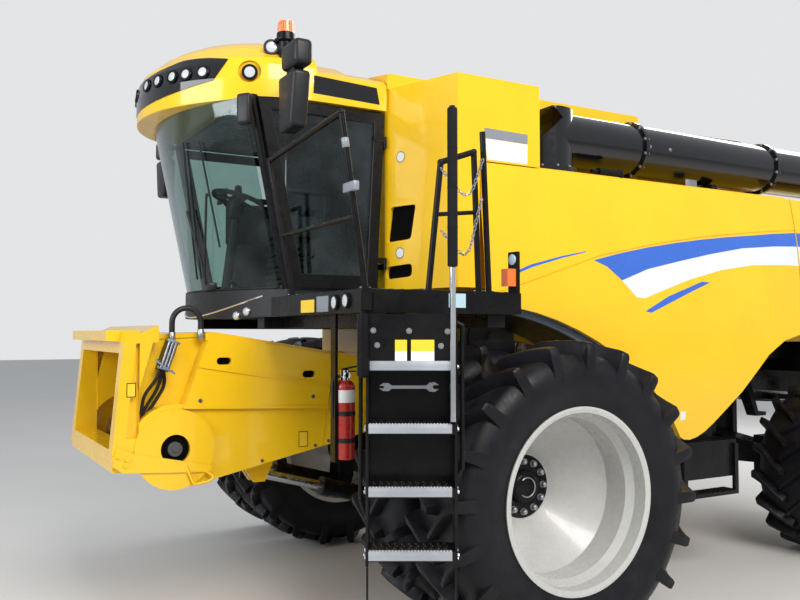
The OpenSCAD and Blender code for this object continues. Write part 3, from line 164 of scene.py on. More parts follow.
def glass_material(name, tint):
    """Thin tinted window glass: mostly see-through, and brighter where it is seen at a low angle."""
    material, tree, shader, coord = new_material(name)
    tree.nodes.remove(shader)
    clear = add_node(tree, "BsdfTransparent", {"Color": (*tint, 1)})
    shine = add_node(tree, "BsdfGlossy", {"Color": (0.9, 0.9, 0.9, 1), "Roughness": 0.02})
    low_angle = reckoned(tree, "POWER", add_node(tree, "LayerWeight", {}).outputs["Facing"], 4)
    smear = ranged(tree, noise(tree, coord, 3, 5), 0.4, 0.8, 0.03, 0.09)
    share = reckoned(tree, "ADD", low_angle, smear, clamp=True)
    blend = add_node(tree, "MixShader", {0: share, 1: clear.outputs["BSDF"], 2: shine.outputs["BSDF"]})
    set_inputs(tree, tree.nodes["Material Output"], {"Surface": blend.outputs["Shader"]})
    return material


def lens_material(name, colour, painted_glow):
    material = surface(name, colour, 0.08, coat=0.8, vary=0.02)
    shader = material.node_tree.nodes["Principled BSDF"]
    # The faint emission is a painted glow: it stands in for the light that the lens and its reflector give
    # back.
    set_inputs(material.node_tree, shader, {"Emission Color": (*colour, 1), "Emission Strength": painted_glow})
    return material


PAINT = {
    "yellow_paint": surface("yellow enamel", (0.87, 0.52, 0.01), 0.2, coat=0.45, dust=0.06, vary=0.03,
                            grain=0.0003, grain_scale=90, specular=0.3),
    "black_paint": surface("black enamel", (0.005, 0.005, 0.006), 0.3, coat=0.08, dust=0.04, vary=0.2,
                           grain=0.0004, grain_scale=120, specular=0.13),
    "gloss_black": surface("gloss black enamel", (0.004, 0.004, 0.005), 0.1, coat=0.7, dust=0.02, vary=0.2,
                           specular=0.3),
    "grey_metal": surface("grey castings", (0.06, 0.06, 0.065), 0.5, dust=0.2, vary=0.2, grain=0.002,
                          grain_scale=60, specular=0.35),
    "rim_white": surface("cream wheel enamel", (0.47, 0.47, 0.455), 0.28, coat=0.3, dust=0.08, vary=0.03,
                         grain=0.0003, grain_scale=100),
    "bare_steel": surface("bright steel", (0.5, 0.5, 0.51), 0.26, metallic=1, vary=0.08, grain=0.0003,
                          grain_scale=200, rough_vary=0.1),
    "tyre_rubber": surface("tyre rubber", (0.006, 0.006, 0.009), 0.42, dust=0.045, vary=0.25, grain=0.0006,
                           grain_scale=240, rough_vary=0.12, vary_scale=4, specular=0.2),
    "dark_plastic": surface("grained plastic", (0.01, 0.011, 0.013), 0.42, dust=0.03, vary=0.15, grain=0.0006,
                            grain_scale=500, specular=0.35),
    "seat_cloth": surface("seat cloth", (0.035, 0.04, 0.05), 0.85, vary=0.2, grain=0.001, grain_scale=700),
    "red_paint": surface("red enamel", (0.42, 0.02, 0.012), 0.3, coat=0.3, vary=0.06),
    "clear_glass": glass_material("tinted glass", (0.66, 0.76, 0.74)),
    "lamp_lens": surface("amber lens", (0.85, 0.16, 0.02), 0.12, coat=0.6, vary=0.05),
}
CHROME = surface("chrome", (0.78, 0.79, 0.81), 0.12, metallic=1, vary=0.03, rough_vary=0.04)
ZINC = surface("zinc hardware", (0.42, 0.43, 0.45), 0.34, metallic=0.9, vary=0.12, grain=0.0004,
               grain_scale=160)
TREAD = surface("galvanised tread", (0.4, 0.42, 0.46), 0.42, metallic=0.5, dust=0.15, vary=0.12, grain=0.0006,
                grain_scale=140)
WHITE_PLATE = surface("white plate", (0.74, 0.74, 0.72), 0.38, coat=0.2, vary=0.03)
GREY_PLATE = surface("grey plate", (0.22, 0.24, 0.27), 0.38, coat=0.2, vary=0.05)
YELLOW_PLATE = surface("yellow plate", (0.86, 0.56, 0.02), 0.35, coat=0.2, vary=0.03)
BLUE = surface("blue stripe", (0.03, 0.125, 0.55), 0.22, coat=0.5, vary=0.04)
WHITE = surface("white stripe", (0.72, 0.74, 0.77), 0.22, coat=0.5, vary=0.02)
REFLECTOR = surface("pale reflector", (0.42, 0.6, 0.68), 0.2, coat=0.8, vary=0.05)
# Lamp lenses with a faint painted glow
LENS = lens_material("lamp lens", (0.5, 0.52, 0.55), 0.05)
RUBBER = surface("black rubber trim", (0.008, 0.008, 0.009), 0.5, vary=0.15, grain=0.0004, specular=0.3)
FOAM = surface("foam sleeve", (0.008, 0.008, 0.009), 0.8, vary=0.15, grain=0.0015, grain_scale=260,
               specular=0.2)
ARCH_GREY = surface("arch edge blue grey", (0.1, 0.14, 0.2), 0.35, coat=0.3, vary=0.08)
SHADOW = surface("unlit inside", (0.003, 0.003, 0.003), 0.9, vary=0.1, specular=0.05)
MIRROR = surface("mirror glass", (0.82, 0.84, 0.86), 0.03, metallic=1, vary=0.01, rough_vary=0.01)
SCREEN = surface("dark screen", (0.008, 0.01, 0.014), 0.08, coat=0.9, vary=0.1)
COUPLER = surface("coupler blue grey", (0.2, 0.26, 0.33), 0.36, metallic=0.5, vary=0.12, grain=0.0004,
                  grain_scale=150)


def paint_nodes():
    """Each CAD node takes the finish of its slot in the record."""
    for part in frame["record"]["subparts"]:
        node = frame["nodes"][part["node"]]
        node.data.materials.clear()
        node.data.materials.append(PAINT[part["material_slot"]])


paint_nodes()


# Shapes

def add_piece(name, mesh, finish, body, smooth):
    """A piece that rides on a body. Its finish is a slot of the record, or a material. Edges under the angle
    called smooth are shaded round."""
    slot = finish if isinstance(finish, str) else None
    mesh.materials.append(PAINT[slot] if slot else finish)
    mesh.shade_smooth()
    mesh.set_sharp_from_angle(angle=math.radians(smooth))
    obj = new_object(name, mesh)
    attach(obj, body)
    return obj


def mirror(mesh):
    """Turns a mesh into that of the machine's other side."""
    mesh.transform(Matrix.Scale(-1, 4, Y))
    mesh.flip_normals()


def turned(degrees, axis="Y"):
    return Matrix.Rotation(math.radians(degrees), 4, axis)


def facing(axis):
    """The rotation that turns Z to an axis."""
    return Vector(axis).to_track_quat("Z", "Y").to_matrix()


def turns(count, first=0, step=None):
    """Cosine and sine of angles in degrees, which go round the whole circle or in steps from the first."""
    angles = [math.radians(first + k * (step or 360 / count)) for k in range(count)]
    return [(math.cos(angle), math.sin(angle)) for angle in angles]


def rectangle(u0, u1, v0, v1):
    return [(u0, v0), (u1, v0), (u1, v1), (u0, v1)]


def bezier(a, b, c, d, count):
    """Points along a cubic curve."""
    a, b, c, d = (Vector(point) for point in (a, b, c, d))
    return [a * (1 - t) ** 3 + b * (3 * t * (1 - t) ** 2) + c * (3 * t * t * (1 - t)) + d * t ** 3
            for t in (i / count for i in range(count + 1))]


def rounded_path(points, bend, steps=6):
    """Points of a bent rod, with an arc at each inner corner."""
    points = [Vector(p) for p in points]
    if bend <= 0:
        return points
    path = [points[0]]
    for before, corner, after in zip(points, points[1:], points[2:]):
        u, v = before - corner, after - corner
        cut = min(bend, u.length * 0.49, v.length * 0.49)
        start, end = corner + u.normalized() * cut, corner + v.normalized() * cut
        for t in (k / steps for k in range(steps + 1)):
            path.append(start * (1 - t) ** 2 + corner * (2 * t * (1 - t)) + end * t ** 2)
    return path + [points[-1]]


def round_edges(shape, bevel, steps):
    bmesh.ops.bevel(shape, geom=shape.edges[:], offset=bevel, segments=steps, profile=0.5, affect="EDGES")


def rounded_box(size, bevel, steps):
    """A box about its own middle, with rounded edges."""
    shape = bmesh.new()
    bmesh.ops.create_cube(shape, size=1)
    bmesh.ops.scale(shape, vec=size, verts=shape.verts)
    round_edges(shape, bevel, steps)
    return shape


def skin(shape, rows, closed=False, looped=True, ends=False):
    """Faces between rows of points. closed joins the last row to the first, looped joins each row's own ends,
    and ends fills the first and the last row."""
    rows = [[shape.verts.new(place) for place in row] for row in rows]
    for a, b in zip(rows, rows[1:] + (rows[:1] if closed else [])):
        for k in range(len(a) if looped else len(a) - 1):
            j = (k + 1) % len(a)
            shape.faces.new((a[k], a[j], b[j], b[k]))
    if ends:
        shape.faces.new(rows[0])
        shape.faces.new(rows[-1])


class Kit:
    """Gathers shapes into one piece, in the machine's coordinates or about a base. Side -1 mirrors it."""

    def __init__(self, side=1, base=None):
        self.side = side
        self.base = base or Matrix()
        self.bm = bmesh.new()

    def take(self, shape):
        mesh = bpy.data.meshes.new("shape")
        bmesh.ops.recalc_face_normals(shape, faces=shape.faces)
        shape.to_mesh(mesh)
        shape.free()
        self.bm.from_mesh(mesh)
        bpy.data.meshes.remove(mesh)

    def box(self, low, high, bevel, turn=None, steps=2):
        """A box with rounded edges. turn is a rotation about its middle."""
        low, high = Vector(low), Vector(high)
        size = high - low
        shape = rounded_box(size, min(bevel, min(size) * 0.4), steps)
        place = Matrix.Translation((low + high) / 2) @ (turn or Matrix())
        bmesh.ops.transform(shape, matrix=place, verts=shape.verts)
        self.take(shape)

    def lathe(self, place, axis, profile, sides=32):
        """A turned shape from distances along its axis and radii."""
        shape = bmesh.new()
        matrix = Matrix.Translation(place) @ facing(axis).to_4x4()
        rings = []
        for along, radius in profile:
            spots = [(radius * c, radius * s, along) for c, s in turns(sides)] if radius else [(0, 0, along)]
            rings.append([shape.verts.new(matrix @ Vector(spot)) for spot in spots])
        for a, b in zip(rings, rings[1:]):
            for i in range(sides):
                corners = [a[i % len(a)], a[(i + 1) % len(a)], b[(i + 1) % len(b)], b[i % len(b)]]
                corners = list(dict.fromkeys(corners))
                if len(corners) > 2:
                    shape.faces.new(corners)
        for ring in (rings[0], rings[-1]):
            if len(ring) > 2:
                shape.faces.new(ring)
        self.take(shape)

    def tube(self, points, radius, bend=0, sides=12, closed=False):
        """A round rod along points, with its corners bent."""
        path = rounded_path(points, bend)
        last = len(path) - 1
        shape = bmesh.new()
        rings, normal = [], None
        for i, place in enumerate(path):
            ahead = path[min(i + 1, last)] - path[max(i - 1, 0)]
            if closed:
                ahead = path[(i + 1) % len(path)] - path[i - 1]
            ahead = ahead.normalized()
            normal = ahead.orthogonal() if normal is None else normal - ahead * normal.dot(ahead)
            normal.normalize()
            across = ahead.cross(normal)
            rings.append([place + (normal * c + across * s) * radius for c, s in turns(sides)])
        skin(shape, rings, closed, ends=not closed)
        self.take(shape)

    def plate(self, outline, place, u, v, thick, bevel=0, steps=1):
        """A flat outline, measured along u and v from a place, with a thickness along u x v."""
        place = Vector(place)
        shape = bmesh.new()
        face = shape.faces.new([shape.verts.new(place + u * a + v * b) for a, b in outline])
        grown = bmesh.ops.extrude_face_region(shape, geom=[face])
        moved = [g for g in grown["geom"] if isinstance(g, bmesh.types.BMVert)]
        bmesh.ops.translate(shape, vec=u.cross(v) * thick, verts=moved)
        if bevel:
            round_edges(shape, bevel, steps)
        self.take(shape)

    def side_plate(self, outline, y, thick, bevel=0):
        """A plate across the machine, from its outline in X and Z. It goes outwards from y."""
        self.plate(outline, (0, y, 0), X, Z, -thick, bevel)

    def bolt(self, place, axis, size):
        """A hexagon head with its washer."""
        high, washer_r, corner_r = size * 0.62, size * 0.82, size * 0.577
        self.lathe(place, axis, [(-1, washer_r), (size * 0.1, washer_r)], 18)
        self.lathe(place, axis, [(size * 0.08, corner_r), (high * 0.85, corner_r), (high, size * 0.5)], 6)

    def bolt_ring(self, place, axis, radius, count, size):
        for c, s in turns(count, 180 / count):
            self.bolt(Vector(place) + facing(axis) @ Vector((radius * c, radius * s, 0)), axis, size)

    def both(self):
        """Adds the other side's copy."""
        mesh = bpy.data.meshes.new("other side")
        self.bm.to_mesh(mesh)
        mirror(mesh)
        self.bm.from_mesh(mesh)
        bpy.data.meshes.remove(mesh)
        return self

    def piece(self, name, body, finish, smooth=40):
        mesh = bpy.data.meshes.new(name)
        self.bm.to_mesh(mesh)
        self.bm.free()
        mesh.transform(self.base)
        if self.side < 0:
            mirror(mesh)
        mesh.transform(TO_FRAME)
        return add_piece(name, mesh, finish, body, smooth)


# Tyres

FRONT_R, FRONT_W, FRONT_RIM, FRONT_LUG, FRONT_LUGS = 950, 520, 558, 72, 20
REAR_R, REAR_W, REAR_RIM, REAR_LUG, REAR_LUGS = 745, 600, 368, 58, 18
FRONT_OUTER_Y, DUAL_PITCH = 1970, 700
REAR_X, REAR_Y = -3750, 1310
RING_STEPS = 120
LUG_EDGE, LUG_CHAMFER, LUG_FLARE = 0.82, 0.12, 1.12


def carcass_section(r, w, rim, h):
    """Radius and side distance round a tyre's wall, from the inner bead over the tread to the outer bead."""
    crown = r - h
    belly = (rim + crown) / 2
    wall = []
    for level, spots in ((rim, ((-20, 0.4), (-4, 0.423), (12, 0.428), (30, 0.437))),
                         (belly, ((-75, 0.474), (-35, 0.49), (10, 0.497), (45, 0.493), (75, 0.48))),
                         (crown, ((-55, 0.452), (-25, 0.415), (-8, 0.36), (0, 0.2), (1, 0)))):
        wall += [(level + rise, share * w) for rise, share in spots]
    return [(radius, -side) for radius, side in wall] + wall[-2::-1]


def lug_stations(r, w, h):
    """Stations along a lug: base and top, each as radius and side, way round the tread, and half widths."""
    crown = r - h
    low = crown - 4
    return [
        ((low, -12), (r - 3, -4), 0, 34, 17),
        ((low, 30), (r, 34), 34, 34, 18),
        ((low, 0.16 * w), (r, 0.16 * w), 82, 33, 18),
        ((low - 3, 0.25 * w), (r - 1, 0.25 * w), 130, 33, 19),
        ((low - 6, 0.33 * w), (r - 3, 0.335 * w), 166, 36, 21),
        ((crown - 22, 0.39 * w), (r - 6, 0.42 * w), 192, 40, 24),
        ((crown - 40, 0.42 * w), (r - 12, 0.478 * w), 204, 43, 27),
        ((crown - 60, 0.44 * w), (r - 30, 0.496 * w), 208, 46, 30),
        ((crown - 85, 0.455 * w), (crown - 30, 0.499 * w), 210, 50, 34),
        ((crown - 115, 0.47 * w), (crown - 85, 0.498 * w), 211, 56, 40),
        ((crown - 140, 0.475 * w), (crown - 130, 0.49 * w), 212, 60, 46),
    ]


def ring_point(radius, side, angle):
    """A point of a wheel about its own middle. The angle runs from the front over the top."""
    return (radius * math.cos(angle), side, radius * math.sin(angle))


def add_lug(shape, r, w, h, angle, row):
    """One lug. Its middle end meets the ground first, and its outer end reaches down over the shoulder."""
    rows = []
    for base, top, lead, wide, narrow in lug_stations(r, w, h):
        chamfer = [t + (b - t) * LUG_CHAMFER for t, b in zip(top, base)]
        half = [(base, wide), (chamfer, narrow * LUG_FLARE), (top, narrow * LUG_EDGE)]
        corners = [(spot, -offset) for spot, offset in half] + half[::-1]
        rows.append([ring_point(radius, row * side, angle + (lead + offset) / r)
                     for (radius, side), offset in corners])
    skin(shape, rows, looped=False, ends=True)


def tyre_shape(r, w, rim, h, count):
    """A tyre about its own middle, with two rows of lugs that are half a pitch apart."""
    shape = bmesh.new()
    section = carcass_section(r, w, rim, h)
    rings = [[ring_point(radius, side, 2 * math.pi * i / RING_STEPS) for radius, side in section]
             for i in range(RING_STEPS)]
    skin(shape, rings, closed=True, looped=False)
    for row, shift in ((1, 0.5), (-1, 0)):
        for i in range(count):
            add_lug(shape, r, w, h, 2 * math.pi * (i + shift) / count, row)
    return shape


def add_tyres():
    front = (FRONT_R, FRONT_W, FRONT_RIM, FRONT_LUG, FRONT_LUGS)
    rear = (REAR_R, REAR_W, REAR_RIM, REAR_LUG, REAR_LUGS)
    for name, sizes, x, y, body in (
            ("front_tyre_outer", front, 0, FRONT_OUTER_Y, "front_wheels"),
            ("front_tyre_inner", front, 0, FRONT_OUTER_Y - DUAL_PITCH, "front_wheels"),
            ("rear_tyre", rear, REAR_X, REAR_Y, "rear_wheel")):
        for side, sign in SIDES:
            kit = Kit(sign, Matrix.Translation((x, y, sizes[0])))
            kit.take(tyre_shape(*sizes))
            tyre = kit.piece(f"{name}_{side}_tread", f"{body}_{side}", "tyre_rubber", 30)
            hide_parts(f"{name}_{side}")


add_tyres()


# Hubs and wheel nuts

HUB_FACE_Y = 1625
HUB_CAP_H = 53.5
STUD_R, REAR_STUD_R = 162, 118
REAR_DISC_Y = 1232
# Profile and sides of a nut's washer, of the nut, and of the end of its stud
FRONT_NUT = (([(0, 22.5), (6, 22.5)], 20),
             ([(4, 20.5), (24, 20.5), (28, 18.6), (29, 18.6)], 6),
             ([(24, 12.5), (36, 12.5), (37.5, 10.5)], 14))
REAR_NUT = (([(0, 22.5), (5, 22.5)], 20),
            ([(3, 20.5), (34, 20.5), (37, 18)], 6),
            ([(34, 11.5), (45, 11.5), (46, 9)], 14))


def add_nuts(kit, middle, radius, count, nut):
    for c, s in turns(count):
        for profile, sides in nut:
            kit.lathe(Vector(middle) + Vector((radius * c, 0, radius * s)), Y, profile, sides)


def add_hubs():
    for side, sign in SIDES:
        body = f"front_wheels_{side}"
        cap = Kit(sign)
        cap.lathe((0, HUB_FACE_Y - 2, FRONT_R), Y, [(0, 206), (6, 203), (8, 196), (8, 100)], 64)
        dome = [(0, 110), (22, 108), (40, 98), (52.5, 80), (HUB_CAP_H, 0)]
        cap.lathe((0, HUB_FACE_Y, FRONT_R), Y, dome, 48)
        cap.piece(f"hub_cap_{side}", body, "black_paint")
        nuts = Kit(sign)
        add_nuts(nuts, (0, HUB_FACE_Y + 4, FRONT_R), STUD_R, 12, FRONT_NUT)
        snap_ring = [(62 * c, HUB_FACE_Y + HUB_CAP_H, FRONT_R + 62 * s) for c, s in turns(34, 50, 8)]
        nuts.tube(snap_ring, 4.5, sides=8)
        nuts.piece(f"hub_nuts_{side}", body, ZINC)
        rear_cap, rear_nuts = Kit(sign), Kit(sign)
        rear_cap.lathe((REAR_X, 1299, REAR_R), Y, [(0, 88), (10, 86), (22, 60), (24, 0)], 40)
        rear_cap.piece(f"rear_hub_cap_{side}", f"rear_wheel_{side}", "black_paint")
        add_nuts(rear_nuts, (REAR_X, REAR_DISC_Y, REAR_R), REAR_STUD_R, 10, REAR_NUT)
        rear_nuts.piece(f"rear_nuts_{side}", f"rear_wheel_{side}", ZINC)
        valve = Kit(sign)
        valve.tube([(0, HUB_FACE_Y + 20, FRONT_R + 400), (10, HUB_FACE_Y + 70, FRONT_R + 425)], 6)
        valve.piece(f"tyre_valve_{side}", body, ZINC)


add_hubs()


# Stripes, lines and plates on the side panels and the rear hood

BULGE_R, BULGE_Y, BULGE_Z = 5512.5, 1600, 2020
DECAL_LIFT = 0.6
DECAL_STEP = 20
PANEL_END = -2945
HOOD_START = -2960
STRIPE_END = -4350
ARCH_POINTS = 17


def panel_y(z):
    """Outer face of the bulged panels at a height."""
    return BULGE_Y - BULGE_R + math.sqrt(BULGE_R ** 2 - (z - BULGE_Z) ** 2)


def decal(name, body, outline, finish, sign):
    """A thin film on a bulged panel, from its outline in X and Z."""
    kit = Kit(sign)
    bm = kit.bm
    bm.faces.new([bm.verts.new((x, 0, z)) for x, z in outline])
    bmesh.ops.triangulate(bm, faces=bm.faces[:])
    low, high = min(z for x, z in outline), max(z for x, z in outline)
    for k in range(1, int((high - low) / DECAL_STEP) + 1):
        bmesh.ops.bisect_plane(bm, geom=bm.verts[:] + bm.edges[:] + bm.faces[:],
                               plane_co=(0, 0, low + k * DECAL_STEP), plane_no=Z)
    for vert in bm.verts:
        vert.co.y = panel_y(vert.co.z) + DECAL_LIFT
    bm.normal_update()
    for face in bm.faces:
        if face.normal.y < 0:
            face.normal_flip()
    kit.piece(name, body, finish, 60)


BLUE_TOP = [(-672, 2453), (-928, 2514), (-1206, 2570), (-1497, 2618), (-1777, 2659), (-2094, 2697),
            (-2400, 2728), (-2666, 2757), (PANEL_END, 2780)]
BLUE_LOW = [(-797, 2411), (-931, 2318), (-1189, 2408), (-1522, 2480), (-1878, 2551), (-2254, 2615),
            (-2646, 2650), (PANEL_END, 2664)]
WHITE_LOW = [(-1069, 2200), (-1152, 2196), (-1349, 2260), (-1622, 2345), (-1982, 2430), (-2361, 2484),
             (-2753, 2500), (PANEL_END, 2500)]
THIN_LINE = [(-1148, 2099), (-1212, 2091), (-1454, 2184), (-1640, 2255), (-1850, 2330), (-1760, 2335),
             (-1390, 2214)]
FRONT_LINE = [(61, 2335), (-118, 2402), (-396, 2472), (-609, 2514), (-609, 2507), (-396, 2458),
              (-118, 2382), (61, 2311)]
PANEL_DECALS = (("blue_stripe", BLUE_TOP + BLUE_LOW[::-1], BLUE),
                ("white_stripe", BLUE_LOW[1:] + WHITE_LOW[::-1], WHITE),
                ("thin_stripe", THIN_LINE, BLUE),
                ("front_line", FRONT_LINE, BLUE),
                ("panel_plate", rectangle(-1600, -1545, 1290, 1355), WHITE_PLATE))
# Heights of each stripe's upper and lower edge at the front and at the rear of the hood
HOOD_DECALS = (("hood_blue", (2780, 2664), (2790, 2680), BLUE),
               ("hood_white", (2664, 2500), (2680, 2540), WHITE))


def add_stripes():
    for side, sign in SIDES:
        for name, outline, finish in PANEL_DECALS:
            decal(f"{name}_{side}", f"side_panel_{side}", outline, finish, sign)
        for name, (top, low), (rear_top, rear_low), finish in HOOD_DECALS:
            outline = [(HOOD_START, top), (STRIPE_END, rear_top), (STRIPE_END, rear_low), (HOOD_START, low)]
            decal(f"{name}_{side}", "chassis", outline, finish, sign)
        lip = Kit(sign)
        low = bezier((60, 2085), (-520, 2005), (-1200, 1615), (-1330, 1250), 24)[:ARCH_POINTS]
        high = bezier((60, 2125), (-560, 2045), (-1260, 1655), (-1540, 1200), 24)[:ARCH_POINTS]
        lip.side_plate(low + high[::-1], 1530, -6, 1)
        lip.tube([(x, 1527, z - 3) for x, z in low], 7)
        lip.piece(f"arch_lip_{side}", "chassis", ARCH_GREY)


add_stripes()


# Belts round the pulleys at the sides of the threshing housing

BELT_Y = 851
GROOVE = 26
# Each belt goes round pulleys, given by X, Z and radius
BELTS = {"left": (((-300, 1900, 210), (-1250, 1500, 160), (-1450, 2060, 120)),
                  ((-2250, 1720, 240), (-2350, 2500, 170))),
         "right": (((-400, 1750, 180), (-1350, 2000, 130)),
                   ((-2150, 1620, 220), (-2450, 2450, 190)))}


def wrapped(pulleys, grow):
    """The taut loop round pulleys: their farthest points in each direction."""
    loop = []
    for c, s in turns(96):
        x, z, r = max(pulleys, key=lambda pulley: pulley[0] * c + pulley[1] * s + pulley[2])
        loop.append((x + c * (r - GROOVE + grow), z + s * (r - GROOVE + grow)))
    return loop


def add_belts():
    for side, sign in SIDES:
        kit = Kit(sign)
        for pulleys in BELTS[side]:
            inner, outer = wrapped(pulleys, 1), wrapped(pulleys, 14)
            shape = bmesh.new()
            rings = [[(x, BELT_Y + y, z) for x, z in loop]
                     for loop, y in ((inner, -6), (outer, -8), (outer, 8), (inner, 6))]
            skin(shape, rings, closed=True)
            kit.take(shape)
        kit.piece(f"drive_belts_{side}", "chassis", "tyre_rubber")


add_belts()


# Ladder, in its own coordinates about the hinge

LADDER = Matrix.Translation((1478, 2232, 0)) @ turned(150, "Z")
STEP_TOPS = (1800, 1483, 1166, 849)
LOW_STEP_TOP = 488
ROD_X, ROD_Y = 451, -12
# Upper half of an open-ended wrench, from its closed end to its jaws
WRENCH = [(-160, 6), (-135, 22), (-108, 22), (-90, 9), (90, 9), (108, 24), (136, 26), (160, 10), (132, 10),
          (124, 0)]


def add_step(lips, tops, near, far, z, rows, row_pitch, toothed=True):
    """A step between two corners: a folded lip with teeth in front, and a tread with rows of studs."""
    (x0, y0), (x1, y1) = near, far
    lips.box((x0, y0 - 3, z - 44), (x1, y0 + 6, z + 1), 2)
    lips.box((x0, y0 - 3, z - 3), (x1, y0 + 30, z + 3.5), 1.5)
    teeth, studs = 26, 11
    for k in range(teeth):
        x = x0 + (k + 0.5) * (x1 - x0) / teeth
        lips.lathe((x, y0 + 6, z + 2), Z, [(0, 6.5), (3, 5), (5.5, 2)], 6)
        if toothed:
            lips.lathe((x, y0 - 3, z - 20), -Y, [(-1, 6.5), (1.2, 5.5)], 10)
    tops.box((x0, y0 + 31, z - 1), (x1, y1, z + 3), 1)
    for row in range(rows):
        for k in range(studs):
            x = x0 + (k + 0.5 + 0.25 * (row % 2)) * (x1 - x0 - 12) / studs
            y = y0 + 58 + row * row_pitch
            tops.lathe((x, y, z + 2), Z, [(0, 13.5), (4.5, 10.5), (4.5, 6.5), (2, 5)], 12)


def add_steps():
    lips, tops = Kit(base=LADDER), Kit(base=LADDER)
    for z in STEP_TOPS:
        add_step(lips, tops, (26.5, 0), (447, 192), z, 3, 46, toothed=z != STEP_TOPS[0])
    add_step(lips, tops, (26, 30), (464, 148), LOW_STEP_TOP, 2, 34)
    lips.piece("ladder_lips", "ladder", TREAD)
    tops.piece("ladder_treads", "ladder", "black_paint")


def add_ladder_plates():
    low, high = Kit(base=LADDER), Kit(base=LADDER)
    for x0, x1 in ((160, 220), (241, 358)):
        low.side_plate(rectangle(x0, x1, 1797, 1853), -1.6, 1.4)
        high.side_plate(rectangle(x0, x1, 1853.5, 1910), -1.6, 1.4)
    low.piece("ladder_plates_low", "ladder", WHITE_PLATE)
    high.piece("ladder_plates_top", "ladder", YELLOW_PLATE)


def add_ladder_bolts():
    """Bolts of the head plate, the steps and the straps, and the wrench kept behind the steps."""
    bolts = Kit(base=LADDER)
    for x, z in ((50, 1957), (70, 1883), (231, 1955), (392, 1879), (425, 1952)):
        bolts.bolt((x, -0.5, z), -Y, 18)
    for x, way in ((12, -X), (475, X)):
        for z in STEP_TOPS:
            for y in (50, 150):
                bolts.bolt((x, y, z - 28), way, 18)
    # Strap bolts of the lowest step
    for x, way in ((13.5, -X), (475, X)):
        for z in (795, 460):
            bolts.bolt((x, 90, z), way, 16)
    lower_half = [(x, -z) for x, z in WRENCH[-2::-1]]
    jaw = [(-136, -6), (-130, 0), (-136, 6)]
    bolts.plate(WRENCH + lower_half + jaw, (232, 192.5, 1660), X, Z, 3, 0.8)
    bolts.piece("ladder_bolts", "ladder", ZINC)


def add_ladder_rail():
    foam, rod = Kit(base=LADDER), Kit(base=LADDER)
    foam.lathe((ROD_X, ROD_Y, 2280), Z, [(0, 16), (1, 23), (6, 26), (804, 26), (809, 23), (809.5, 16)], 24)
    for z in (2480, 2680, 2880):
        foam.lathe((ROD_X, ROD_Y, z), Z, [(0, 26.2), (3, 27.8), (6, 26.2)], 24)
    foam.piece("ladder_foam", "ladder", FOAM)
    rod.lathe((ROD_X, ROD_Y, 1500), Z, [(0, 15.4), (776, 15.4)], 20)
    rod.piece("ladder_rod", "ladder", CHROME)


add_steps()
add_ladder_plates()
add_ladder_bolts()
add_ladder_rail()


# Platform, rails and what hangs on them

PLATFORM_TOP = 2170
PLATFORM_FRONT = 1470
TANK_SIDE_Y = 1500.1
FILM = 1.4
SHOULDER_OUT = Vector((0.944, 0.33, 0))
LINK_PITCH, LINK_HALF_LENGTH, LINK_HALF_WIDTH, LINK_WIRE = 21, 15.5, 8.5, 2.6


def chain(kit, points):
    """Oval links, turned by a quarter each, along a sagging line."""
    path = rounded_path(points, 120, 24)
    lengths = [0]
    for a, b in zip(path, path[1:]):
        lengths.append(lengths[-1] + (b - a).length)
    for i in range(int(lengths[-1] / LINK_PITCH)):
        want = (i + 0.5) * LINK_PITCH
        k = max(j for j in range(len(path) - 1) if lengths[j] <= want)
        place = path[k].lerp(path[k + 1], (want - lengths[k]) / (lengths[k + 1] - lengths[k]))
        ahead = (path[k + 1] - path[k]).normalized()
        wide = ahead.cross(Y).normalized() if i % 2 else Y
        oval = [place + ahead * (LINK_HALF_LENGTH * c) + wide * (LINK_HALF_WIDTH * s) for c, s in turns(12)]
        kit.tube(oval, LINK_WIRE, sides=6, closed=True)


def add_platform_tread():
    tread = Kit()
    for y in range(990, 2135, 104):
        tread.box((490, y, PLATFORM_TOP - 1), (1455, y + 52, PLATFORM_TOP + 4.5), 2)
        for x in range(530, 1415, 68):
            tread.lathe((x, y + 26, PLATFORM_TOP + 3.5), Z, [(0, 13), (4, 10), (4, 6), (1, 5)], 10)
    tread.piece("platform_tread", "chassis", "black_paint")


